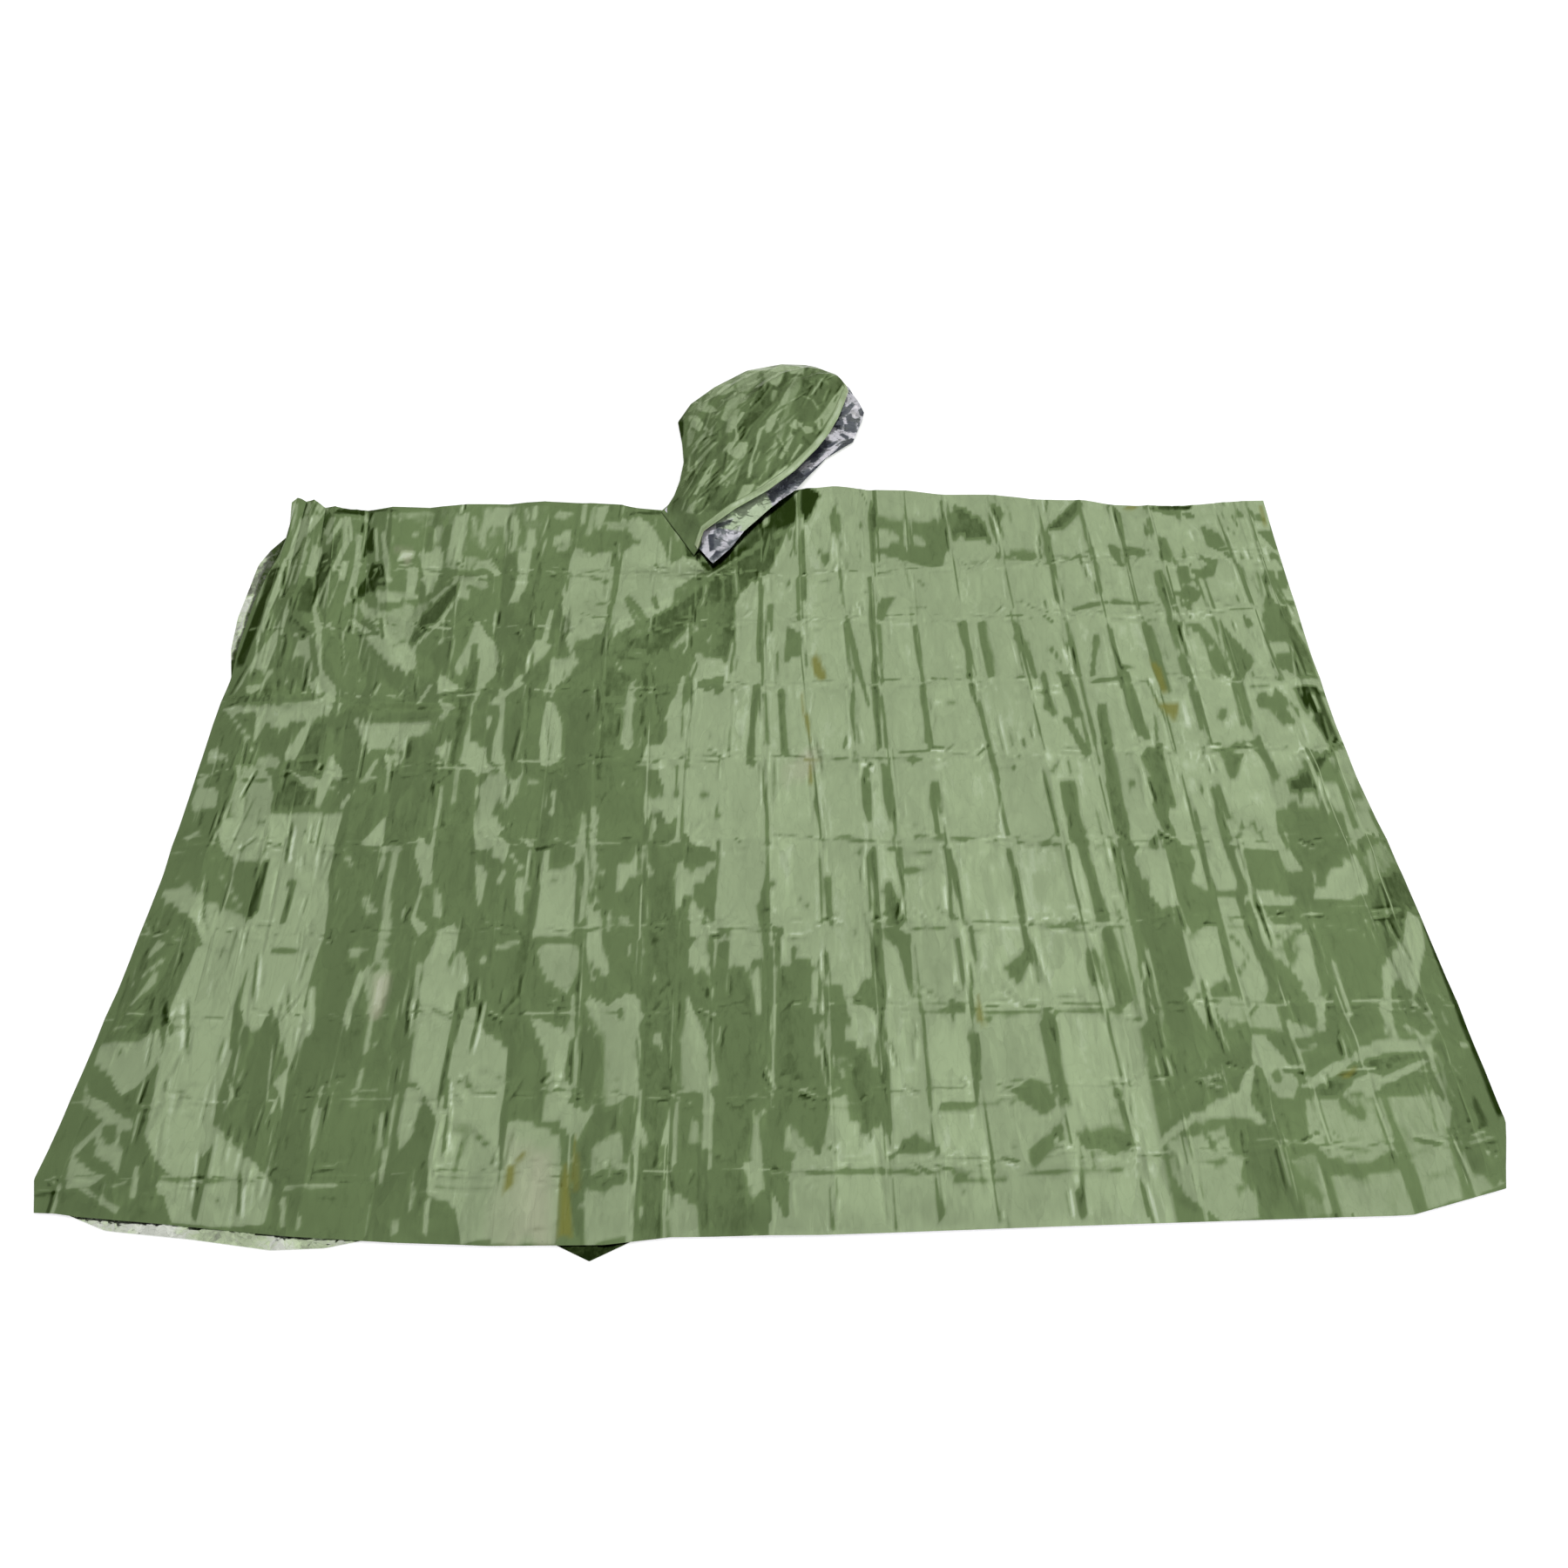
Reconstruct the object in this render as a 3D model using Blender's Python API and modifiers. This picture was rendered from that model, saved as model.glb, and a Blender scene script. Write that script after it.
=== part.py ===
"""Rain poncho of thin metallised film, laid flat on its back with the hood turned to one side.

The back panel lies on the surface, the front panel lies on it, and the two meet at the
shoulder fold. The front is creased by the folds it was packed in, a row of pleats gathers its
left shoulder, and a deep fold runs down from the neck. The hood lies in profile above the
neck opening, and its near side stands clear of the far one.
"""

import math
from collections import namedtuple

import bmesh
import bpy

# Sizes are in metres. The origin is on the surface below the middle of the body, X runs
# across the wearer, and Y runs from the hem to the shoulder.
MM = 0.001
WALL = 1.0 * MM  # wall that stands for the film
CLEAR = 0.3 * MM  # kept between pieces that touch
HEM_Y = -0.53
WAIST_Y = -0.08
CHEST_Y = 0.22
SHOULDER_Y = 0.50

# Where a panel's side edges lie at a distance up the body.
Side = namedtuple("Side", "y left right")
FRONT_SIDES = (
    Side(-0.520, -0.640, 0.624),
    Side(-0.486, -0.650, 0.634),
    Side(-0.427, -0.645, 0.652),
    Side(-0.277, -0.636, 0.646),
    Side(-0.140, -0.632, 0.639),
    Side(0.000, -0.634, 0.627),
    Side(0.087, -0.636, 0.624),
    Side(0.160, -0.634, 0.624),
    Side(0.210, -0.638, 0.624),
    Side(0.300, -0.639, 0.626),
    Side(0.400, -0.630, 0.628),
    Side(0.430, -0.625, 0.629),
    Side(0.510, -0.638, 0.632),
)
BACK_SIDES = (
    Side(-0.486, -0.643, 0.626),
    Side(-0.420, -0.640, 0.647),
    Side(-0.277, -0.631, 0.641),
    Side(0.000, -0.629, 0.622),
    Side(0.160, -0.634, 0.619),
    Side(0.214, -0.647, 0.620),
    Side(0.269, -0.652, 0.621),
    Side(0.369, -0.650, 0.623),
    Side(0.400, -0.641, 0.624),
    Side(0.440, -0.622, 0.625),
    Side(0.510, -0.632, 0.627),
)

# How far a panel reaches down to its hem and up to its shoulder, across the body.
Reach = namedtuple("Reach", "x hem shoulder")
FRONT_REACH = (
    Reach(-0.645, -0.517, 0.500),
    Reach(-0.622, -0.518, 0.500),
    Reach(-0.602, -0.521, 0.489),
    Reach(-0.570, -0.524, 0.473),
    Reach(-0.547, -0.526, 0.479),
    Reach(-0.420, -0.539, 0.490),
    Reach(-0.329, -0.545, 0.498),
    Reach(-0.247, -0.548, 0.498),
    Reach(-0.149, -0.547, 0.483),
    Reach(-0.093, -0.540, 0.490),
    Reach(0.036, -0.538, 0.531),
    Reach(0.089, -0.536, 0.530),
    Reach(0.235, -0.530, 0.516),
    Reach(0.407, -0.524, 0.499),
    Reach(0.462, -0.522, 0.491),
    Reach(0.526, -0.520, 0.491),
    Reach(0.544, -0.519, 0.492),
    Reach(0.631, -0.494, 0.504),
    Reach(0.656, -0.483, 0.504),
)
BACK_REACH = (
    Reach(-0.630, -0.511, 0.500),
    Reach(-0.575, -0.533, 0.486),
    Reach(-0.500, -0.541, 0.486),
    Reach(-0.430, -0.551, 0.490),
    Reach(-0.385, -0.549, 0.493),
    Reach(-0.345, -0.540, 0.495),
    Reach(-0.200, -0.541, 0.490),
    Reach(-0.160, -0.561, 0.480),
    Reach(-0.120, -0.540, 0.484),
    Reach(-0.060, -0.531, 0.496),
    Reach(0.036, -0.530, 0.527),
    Reach(0.120, -0.527, 0.524),
    Reach(0.235, -0.522, 0.512),
    Reach(0.407, -0.516, 0.495),
    Reach(0.544, -0.511, 0.488),
    Reach(0.640, -0.484, 0.500),
)

# The front of the neck opening is a V cut down into the shoulder edge, under the hood.
NECK_LEFT_X = -0.143
NECK_LOW_X = -0.088
NECK_RIGHT_X = 0.020
NECK_DEPTH = 0.078

# Folds left by the packing, across the front from its left edge. Each runs from the shoulder
# to the hem through the chest and waist. The last three columns are how high the film rises
# there, in millimetres, at the shoulder, the waist and the hem. The first seven gather into
# the pleats of the left shoulder.
Fold = namedtuple("Fold", "shoulder chest waist hem high_up midway low_down")
FOLDS = (
    Fold(-0.627, -0.616, -0.618, -0.628, 8.0, 1.0, 1.0),
    Fold(-0.616, -0.600, -0.594, -0.576, 4.0, 4.0, 3.0),
    Fold(-0.603, -0.581, -0.568, -0.545, 13.0, 1.0, 3.5),
    Fold(-0.590, -0.558, -0.538, -0.511, 6.0, 4.0, 1.0),
    Fold(-0.575, -0.536, -0.516, -0.494, 15.0, 2.0, 3.0),
    Fold(-0.558, -0.514, -0.498, -0.476, 7.0, 3.5, 1.0),
    Fold(-0.536, -0.492, -0.478, -0.461, 1.5, 1.5, 3.0),
    Fold(-0.503, -0.468, -0.457, -0.446, 6.0, 3.5, 0.5),
    Fold(-0.455, -0.434, -0.414, -0.413, 1.0, 0.5, 4.0),
    Fold(-0.408, -0.388, -0.366, -0.350, 4.0, 4.0, 0.0),
    Fold(-0.353, -0.335, -0.322, -0.303, 0.5, 0.5, 5.0),
    Fold(-0.306, -0.290, -0.286, -0.273, 4.0, 4.0, 1.5),
    Fold(-0.256, -0.260, -0.253, -0.243, 0.5, 0.5, 4.5),
    Fold(-0.204, -0.206, -0.199, -0.181, 4.0, 4.5, 0.5),
    Fold(-0.152, -0.152, -0.143, -0.128, 0.0, 0.5, 5.0),
    Fold(-0.108, -0.100, -0.102, -0.098, 0.0, 3.0, 0.5),
    Fold(-0.064, -0.056, -0.064, -0.062, 0.0, 0.0, 4.0),
    Fold(-0.022, -0.020, -0.012, -0.006, 0.0, 3.5, 0.0),
    Fold(0.024, 0.026, 0.043, 0.048, 0.0, 0.0, 4.0),
    Fold(0.070, 0.080, 0.090, 0.096, 3.5, 3.5, 0.0),
    Fold(0.117, 0.116, 0.124, 0.139, 0.0, 0.5, 4.0),
    Fold(0.165, 0.163, 0.173, 0.190, 3.0, 3.5, 0.5),
    Fold(0.214, 0.222, 0.241, 0.262, 0.0, 0.0, 4.5),
    Fold(0.274, 0.282, 0.299, 0.319, 4.0, 4.0, 0.0),
    Fold(0.336, 0.341, 0.350, 0.361, 0.5, 0.0, 4.5),
    Fold(0.391, 0.392, 0.399, 0.407, 4.0, 4.5, 0.5),
    Fold(0.436, 0.436, 0.438, 0.446, 0.0, 0.5, 4.0),
    Fold(0.480, 0.478, 0.478, 0.490, 4.0, 4.0, 0.0),
    Fold(0.522, 0.530, 0.531, 0.543, 0.5, 0.5, 4.5),
    Fold(0.570, 0.576, 0.588, 0.600, 3.5, 3.5, 1.5),
    Fold(0.606, 0.604, 0.612, 0.620, 2.5, 6.0, 6.0),
)

# Folds across the body: where each lies at the left, middle and right, and its rise in
# millimetres.
CrossFold = namedtuple("CrossFold", "left middle right rise")
CROSS_FOLDS = (
    CrossFold(-0.487, -0.477, -0.446, 2.5),
    CrossFold(-0.405, -0.400, -0.375, 1.0),
    CrossFold(-0.315, -0.305, -0.300, 2.5),
    CrossFold(-0.215, -0.205, -0.190, 1.0),
    CrossFold(-0.100, -0.090, -0.090, 3.0),
    CrossFold(0.005, 0.032, 0.045, 1.0),
    CrossFold(0.120, 0.150, 0.160, 2.5),
    CrossFold(0.240, 0.262, 0.285, 1.5),
    CrossFold(0.362, 0.352, 0.395, 1.0),
)
CROSS_FOLD_WIDTH = 0.030
CROSS_FOLD_SHARE = 0.6  # of its rise that a fold across adds to the packing folds
PACKED_SHARE = 0.4  # of the packing folds' height that is left on top of a large fold
EDGE_REACH = 0.035  # the creases fade out within this distance of the hem
SIDE_REACH = 0.030  # the large folds fade out within this distance of the side edges

# The creases also fade out under the hood: over a distance to the left and right of the neck
# opening, and below it.
NECK_FADE = 0.040
NECK_FADE_LEFT_X = NECK_LEFT_X - 0.035
NECK_FADE_RIGHT_X = NECK_RIGHT_X + 0.020
NECK_FADE_LOW_Y = 0.385
NECK_FADE_DOWN = 0.050

# Large folds that run across the packing creases, each from a start to an end. Heights are
# in millimetres. The film falls away within `steep` on the side that is to the left of the
# way it runs, and within `easy` on the other.
LargeFold = namedtuple("LargeFold", "name x y to_x to_y height to_height steep easy")
LARGE_FOLDS = (
    LargeFold("neck fold", -0.060, 0.372, -0.200, 0.238, 9.0, 14.0, 0.030, 0.100),
    LargeFold("neck fold's tail", -0.200, 0.238, -0.335, 0.105, 14.0, 4.0, 0.035, 0.080),
    LargeFold("gather's tail", -0.590, 0.290, -0.505, 0.140, 11.0, 7.0, 0.050, 0.035),
    LargeFold("left chest fold", -0.385, 0.315, -0.432, 0.215, 9.0, 6.0, 0.040, 0.050),
    LargeFold("left chest facet", -0.475, 0.245, -0.425, 0.165, 6.0, 6.0, 0.040, 0.045),
    LargeFold("left waist fold", -0.615, 0.122, -0.505, 0.112, 7.0, 6.0, 0.040, 0.035),
    LargeFold("left waist crumple", -0.480, 0.095, -0.365, 0.092, 6.0, 8.0, 0.035, 0.050),
    LargeFold("left edge bulge", -0.600, -0.190, -0.620, -0.335, 3.0, 7.0, 0.030, 0.035),
    LargeFold("right dent's lip", 0.555, -0.020, 0.622, 0.042, 5.0, 9.0, 0.045, 0.035),
    LargeFold("right waist fold", 0.545, -0.160, 0.625, -0.100, 4.0, 9.0, 0.050, 0.040),
    LargeFold("right facet", 0.610, -0.265, 0.637, -0.190, 6.0, 11.0, 0.030, 0.050),
    LargeFold("hem arc's foot", 0.320, -0.458, 0.430, -0.388, 3.0, 10.0, 0.050, 0.045),
    LargeFold("hem arc", 0.430, -0.388, 0.560, -0.335, 10.0, 9.0, 0.050, 0.045),
    LargeFold("hem arc's end", 0.560, -0.335, 0.628, -0.350, 9.0, 6.0, 0.045, 0.040),
    LargeFold("second arc", 0.440, -0.402, 0.600, -0.362, 4.0, 7.0, 0.030, 0.030),
)

# The hood, in sections from the neck to the brim: the seam at the back of the head, the rim
# of the near side, the rim of the far side, and in millimetres how high each rim stands and
# how far the near side domes above a straight line between its edges.
Section = namedtuple("Section", "back_x back_y near_x near_y far_x far_y near_rim far_rim dome")
HOOD = (
    Section(-0.149, 0.482, -0.103, 0.390, -0.083, 0.368, 12.0, 4.0, 1.0),
    Section(-0.138, 0.512, -0.096, 0.424, -0.063, 0.396, 14.0, 4.0, 4.0),
    Section(-0.132, 0.545, -0.057, 0.468, -0.045, 0.432, 16.0, 3.0, 7.0),
    Section(-0.129, 0.591, -0.015, 0.508, -0.012, 0.481, 16.0, 3.0, 10.0),
    Section(-0.133, 0.635, 0.020, 0.552, 0.022, 0.524, 16.0, 2.0, 13.0),
    Section(-0.141, 0.687, 0.051, 0.606, 0.062, 0.598, 15.0, 1.5, 15.0),
    Section(-0.125, 0.732, 0.067, 0.641, 0.100, 0.637, 14.0, 1.0, 15.0),
    Section(-0.093, 0.775, 0.080, 0.679, 0.114, 0.687, 13.0, 1.0, 14.0),
    Section(-0.047, 0.819, 0.089, 0.716, 0.118, 0.712, 11.0, 0.5, 12.0),
    Section(0.003, 0.836, 0.094, 0.740, 0.110, 0.742, 9.0, 0.0, 10.0),
    Section(0.038, 0.834, 0.097, 0.755, 0.104, 0.758, 7.0, 0.0, 7.0),
    Section(0.071, 0.814, 0.096, 0.769, 0.099, 0.776, 5.0, 0.0, 4.0),
)
HOOD_FLOOR_Y = 0.600  # beyond this the far side lies on the surface
HOOD_RAISED_Y = 0.548  # up to this it lies on the panels
HOOD_OVER_PANELS = 3.0 * MM
HOOD_FALL = 0.60  # share of the way from the seam over which the near side rises
RIM_CURL = 2.5  # how late the far side lifts on its way to the rim
WRINKLE_FADE = 4.0  # a wrinkle fades over one part in this many at each end

# Soft wrinkles in the hood, from the neck (0) to the brim (1). `across` is the share of the
# way from the seam to the rim, at the start and the end. Heights are in millimetres.
Wrinkle = namedtuple("Wrinkle", "across to_across start end height width")
WRINKLES = (
    Wrinkle(0.12, 0.16, 0.20, 0.80, 3.0, 0.07),
    Wrinkle(0.27, 0.30, 0.05, 0.70, 4.0, 0.07),
    Wrinkle(0.42, 0.38, 0.25, 0.95, 4.5, 0.07),
    Wrinkle(0.52, 0.55, 0.00, 0.60, 3.5, 0.06),
    Wrinkle(0.62, 0.58, 0.35, 1.00, 4.0, 0.07),
    Wrinkle(0.74, 0.78, 0.10, 0.65, 3.0, 0.06),
    Wrinkle(0.85, 0.82, 0.40, 0.85, 2.5, 0.06),
)

# Rounds in which a point is found where a place across and a place up a panel meet.
MEETING_ROUNDS = 12

# Faces along and across each piece.
STRIPS_PER_FOLD = 2
ROWS_PER_BAND = 3
BACK_FACES = (40, 8)
NEAR_FACES = (26, 24)
FAR_FACES = (10, 24)

Finish = namedtuple("Finish", "colour roughness metallic")
GREEN_FILM = Finish((0.30, 0.40, 0.22, 1.0), 0.24, 0.9)
SILVER_FILM = Finish((0.60, 0.58, 0.64, 1.0), 0.20, 0.9)


def clear_scene():
    """Remove every object, so that only the poncho is left."""
    for thing in list(bpy.data.objects):
        bpy.data.objects.remove(thing, do_unlink=True)


def read_at(rows, key, value, at):
    """Read one column of a table between its rows, by straight lines."""
    first = rows[0]
    if at <= getattr(first, key):
        return getattr(first, value)
    for low, high in zip(rows, rows[1:]):
        start = getattr(low, key)
        end = getattr(high, key)
        if at <= end:
            share = (at - start) / (end - start)
            return blend(getattr(low, value), getattr(high, value), share)
    return getattr(rows[-1], value)


def blend(low, high, share):
    return low + (high - low) * share


def ease(share):
    """Go smoothly from 0 to 1, and stay there."""
    share = min(max(share, 0.0), 1.0)
    return share * share * (3.0 - 2.0 * share)


def hat(distance, width):
    """A fold's cross-section: 1 on its line, with straight sides down to 0 at its width."""
    return max(0.0, 1.0 - abs(distance) / width)


def neck_drop(x):
    """How far the neck opening cuts down into the shoulder edge."""
    if x < NECK_LOW_X:
        share = (x - NECK_LEFT_X) / (NECK_LOW_X - NECK_LEFT_X)
    else:
        share = (NECK_RIGHT_X - x) / (NECK_RIGHT_X - NECK_LOW_X)
    return NECK_DEPTH * max(0.0, share)


def fold_x(fold, y):
    """Where a packing fold crosses a distance up the body."""
    if y > CHEST_Y:
        return blend(fold.chest, fold.shoulder, (y - CHEST_Y) / (SHOULDER_Y - CHEST_Y))
    if y > WAIST_Y:
        return blend(fold.waist, fold.chest, (y - WAIST_Y) / (CHEST_Y - WAIST_Y))
    return blend(fold.hem, fold.waist, (y - HEM_Y) / (WAIST_Y - HEM_Y))


def fold_rise(fold, y):
    """How high a packing fold stands at a distance up the body."""
    if y > WAIST_Y:
        share = (y - WAIST_Y) / (SHOULDER_Y - WAIST_Y)
        rise = blend(fold.midway, fold.high_up, ease(share))
    else:
        share = (y - HEM_Y) / (WAIST_Y - HEM_Y)
        rise = blend(fold.low_down, fold.midway, ease(share))
    return rise * MM


def cross_fold_y(fold, x):
    """Where a fold across the body crosses a distance from its middle."""
    half = FRONT_SIDES[0].right
    if x < 0.0:
        return blend(fold.middle, fold.left, -x / half)
    return blend(fold.middle, fold.right, x / half)


def line_x(number, y):
    """The left edge is line 0, then come the packing folds, then the right edge."""
    if number == 0:
        return read_at(FRONT_SIDES, "y", "left", y)
    if number > len(FOLDS):
        return read_at(FRONT_SIDES, "y", "right", y)
    return fold_x(FOLDS[number - 1], y)


def line_y(number, x):
    """The hem is line 0, then come the folds across the body, then the shoulder edge."""
    if number == 0:
        return read_at(FRONT_REACH, "x", "hem", x)
    if number > len(CROSS_FOLDS):
        return read_at(FRONT_REACH, "x", "shoulder", x) - neck_drop(x)
    return cross_fold_y(CROSS_FOLDS[number - 1], x)


def between_lines(line, count, place, at):
    """Where a place counted in lines, such as 2.5, lies between two of them."""
    low = min(int(place), count)
    return blend(line(low, at), line(low + 1, at), place - low)


def front_point(across, up):
    """The point on the front where two places, both counted in lines, meet."""
    x = 0.0
    y = 0.0
    for _ in range(MEETING_ROUNDS):
        x = between_lines(line_x, len(FOLDS), across, y)
        y = between_lines(line_y, len(CROSS_FOLDS), up, x)
    return x, y


def large_fold_height(fold, x, y):
    """How high a large fold lifts the film at a point."""
    run_x = fold.to_x - fold.x
    run_y = fold.to_y - fold.y
    length = math.hypot(run_x, run_y)
    along = ((x - fold.x) * run_x + (y - fold.y) * run_y) / length**2
    side = ((y - fold.y) * run_x - (x - fold.x) * run_y) / length
    width = fold.steep if side > 0.0 else fold.easy
    beyond = max(0.0, -along, along - 1.0) * length
    height = blend(fold.height, fold.to_height, min(max(along, 0.0), 1.0))
    return height * MM * ease(1.0 - math.hypot(side, beyond) / width)


def packing_height(across, x, y):
    """How high the packing folds hold the film, at a place counted in lines."""
    rises = [0.5 * MM]
    rises += [fold_rise(fold, y) for fold in FOLDS]
    rises += [0.5 * MM]
    low = min(int(across), len(FOLDS))
    height = blend(rises[low], rises[low + 1], across - low)
    for fold in CROSS_FOLDS:
        distance = y - cross_fold_y(fold, x)
        height += CROSS_FOLD_SHARE * fold.rise * MM * hat(distance, CROSS_FOLD_WIDTH)
    return height


def front_height(across, x, y):
    """Height of the front's underside above the surface."""
    lowest = WALL + CLEAR
    hem = read_at(FRONT_REACH, "x", "hem", x)
    kept = ease((y - hem) / EDGE_REACH)
    left = read_at(FRONT_SIDES, "y", "left", y)
    right = read_at(FRONT_SIDES, "y", "right", y)
    inside = ease(min(x - left, right - x) / SIDE_REACH)
    large = inside * max(large_fold_height(fold, x, y) for fold in LARGE_FOLDS)
    packed = packing_height(across, x, y)
    folds = max(packed, PACKED_SHARE * packed + large)
    return lowest + folds * kept * neck_flatness(x, y)


def neck_flatness(x, y):
    """0 beside the neck opening, where the hood lies on the front, and 1 away from it."""
    past_left = (NECK_FADE_LEFT_X - x) / NECK_FADE
    past_right = (x - NECK_FADE_RIGHT_X) / NECK_FADE
    below = (NECK_FADE_LOW_Y - y) / NECK_FADE_DOWN
    return ease(max(past_left, past_right, below))


def build_piece(name, faces, place, finish, collection):
    """Make a grid of faces, move its points where `place` says, and give it its wall."""
    mesh = bpy.data.meshes.new(name)
    cage = bmesh.new()
    bmesh.ops.create_grid(cage, x_segments=faces[0], y_segments=faces[1], size=0.5)
    for point in cage.verts:
        point.co = place(point.co.x + 0.5, point.co.y + 0.5)
    cage.to_mesh(mesh)
    cage.free()
    mesh.shade_smooth()
    piece = bpy.data.objects.new(name, mesh)
    collection.objects.link(piece)
    wall = piece.modifiers.new("film", "SOLIDIFY")
    wall.thickness = WALL
    wall.offset = 1.0
    mesh.materials.append(film_material(name, finish))
    return piece


def film_material(name, finish):
    material = bpy.data.materials.new(name)
    material.use_nodes = True
    shader = material.node_tree.nodes["Principled BSDF"]
    shader.inputs["Base Color"].default_value = finish.colour
    shader.inputs["Roughness"].default_value = finish.roughness
    shader.inputs["Metallic"].default_value = finish.metallic
    return material


def front_panel(collection):
    strips = len(FOLDS) + 1
    bands = len(CROSS_FOLDS) + 1

    def place(share_across, share_up):
        across = share_across * strips
        x, y = front_point(across, share_up * bands)
        return x, y, front_height(across, x, y)

    faces = (strips * STRIPS_PER_FOLD, bands * ROWS_PER_BAND)
    return build_piece("front_panel", faces, place, GREEN_FILM, collection)


def back_panel(collection):
    def place(share_across, share_up):
        x = 0.0
        y = 0.0
        for _ in range(MEETING_ROUNDS):
            left = read_at(BACK_SIDES, "y", "left", y)
            right = read_at(BACK_SIDES, "y", "right", y)
            x = blend(left, right, share_across)
            hem = read_at(BACK_REACH, "x", "hem", x)
            shoulder = read_at(BACK_REACH, "x", "shoulder", x)
            y = blend(hem, shoulder, share_up)
        return x, y, 0.0

    return build_piece("back_panel", BACK_FACES, place, SILVER_FILM, collection)


def hood_section(share):
    """The hood's section at a share of the way from the neck to the brim."""
    place = share * (len(HOOD) - 1)
    low = min(int(place), len(HOOD) - 2)
    return Section(*(blend(a, b, place - low) for a, b in zip(HOOD[low], HOOD[low + 1])))


def far_height(section, across, y):
    """Height of the far side's underside: on the surface, or over the panels."""
    over_panels = 1.0 - ease((y - HOOD_RAISED_Y) / (HOOD_FLOOR_Y - HOOD_RAISED_Y))
    return HOOD_OVER_PANELS * over_panels + section.far_rim * MM * across**RIM_CURL


def hood_far_side(collection):
    def place(across, up):
        section = hood_section(up)
        x = blend(section.back_x, section.far_x, across)
        y = blend(section.back_y, section.far_y, across)
        return x, y, far_height(section, across, y)

    return build_piece("hood_far_side", FAR_FACES, place, SILVER_FILM, collection)


def wrinkle_height(across, up):
    height = 0.0
    for wrinkle in WRINKLES:
        along = (up - wrinkle.start) / (wrinkle.end - wrinkle.start)
        line = blend(wrinkle.across, wrinkle.to_across, along)
        fade = ease(WRINKLE_FADE * along) * ease(WRINKLE_FADE * (1.0 - along))
        height += wrinkle.height * MM * fade * ease(1.0 - abs(across - line) / wrinkle.width)
    return height


def hood_near_side(collection):
    def place(across, up):
        section = hood_section(up)
        x = blend(section.back_x, section.near_x, across)
        y = blend(section.back_y, section.near_y, across)
        seam = far_height(section, 0.0, section.back_y) + WALL + CLEAR
        rise = math.sin(0.5 * math.pi * min(across / HOOD_FALL, 1.0))
        dome = section.dome * MM * math.sin(math.pi * across)
        height = blend(seam, section.near_rim * MM, rise) + dome
        return x, y, height + wrinkle_height(across, up)

    return build_piece("hood_near_side", NEAR_FACES, place, GREEN_FILM, collection)


def main():
    clear_scene()
    poncho = bpy.data.collections.new("rain_poncho")
    bpy.context.scene.collection.children.link(poncho)
    back_panel(poncho)
    front_panel(poncho)
    hood_far_side(poncho)
    hood_near_side(poncho)


main()
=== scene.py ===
import math

import bpy
import numpy as np
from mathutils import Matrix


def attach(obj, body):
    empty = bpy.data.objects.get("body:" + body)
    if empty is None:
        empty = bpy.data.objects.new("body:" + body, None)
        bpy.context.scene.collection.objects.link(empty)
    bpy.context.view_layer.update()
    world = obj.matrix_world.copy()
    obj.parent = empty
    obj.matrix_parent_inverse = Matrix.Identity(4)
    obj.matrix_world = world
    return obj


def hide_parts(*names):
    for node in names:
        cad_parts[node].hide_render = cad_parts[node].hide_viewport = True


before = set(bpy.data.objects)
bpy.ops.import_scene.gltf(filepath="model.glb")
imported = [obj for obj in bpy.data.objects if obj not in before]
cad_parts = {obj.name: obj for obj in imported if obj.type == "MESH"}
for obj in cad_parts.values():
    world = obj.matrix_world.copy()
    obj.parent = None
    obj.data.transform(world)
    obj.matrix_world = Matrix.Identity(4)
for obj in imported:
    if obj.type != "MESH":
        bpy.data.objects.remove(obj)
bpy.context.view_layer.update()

# A rain poncho of thin metallised film, laid flat: green outside, silver inside.
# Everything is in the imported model's frame, in metres unless a table says millimetres.
mm = 0.001
eye = (0.0, -1.1865, 1.2358)  # the charts of facets and patches were drawn from here


def table(columns, rows, unit=1):
    # rows of numbers become named columns, each number divided by unit
    return dict(zip(columns.split(), (np.array(rows, float) / unit).T))


def mix(low, high, share):
    return low + (high - low) * share


def ease(share):
    share = np.clip(share, 0.0, 1.0)
    return share * share * (3.0 - 2.0 * share)


def softNoise(shape, size, seed):
    # smooth noise of unit spread; size is its grain down and across, in cells
    grain = np.random.default_rng(seed).standard_normal(shape)
    down = np.fft.fftfreq(shape[0])[:, None] * size[0]
    across = np.fft.rfftfreq(shape[1]) * size[1]
    blur = 20.0  # close to 2 pi squared
    damp = np.exp(-blur * (down**2 + across**2))
    smooth = np.fft.irfft2(np.fft.rfft2(grain) * damp, s=shape)
    return smooth / smooth.std()


# A canvas is a flat field that facets, patches and creases are drawn on, and that the sheets
# then read: how the film leans to the light, which the colour paints as light and shade, how far
# it rises, its stains, and its pale places: worn ones, painted glints and painted reflections.
drawing = {
    "ragged": (0.018, 0.005),  # grain of the noise along a facet's sides, down and across
    "frayed": (0.045, 0.005),  # and at its ends
    "raggedBy": 1.6 * mm,
    "frayedBy": 4.0 * mm,
    "softness": (2.4, 5.0),  # of an upright and of a level edge, in millimetres
    "crispSide": 0.2,  # roughness of a facet's crisp side; its other side has 1
    "bend": 0.3,  # most that the lean changes from a facet's middle to its side
    "facetReach": 14 * mm,
    "patchReach": 6 * mm,
    "patchRagged": 0.55 * mm,
    "patchSoft": 2.6 * mm,
    "patchUp": 0.6,  # what a distance up the body counts for, as edges are softer that way
    "patchKeeps": 0.22,  # share of the ground's unevenness that a patch keeps
    "creaseReach": 2 * mm,
    "creaseFade": 4.0,  # a crease fades out over one part in this many at each end
    "creaseTurn": 1.2 * mm,  # distance from a crease's middle where its sides take their tone
    "creaseAgain": 0.5,  # how much shows of a side that turns the way the film round it does
    "steepest": 1.8,  # lean beyond which a facet tips no further
}


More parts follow.
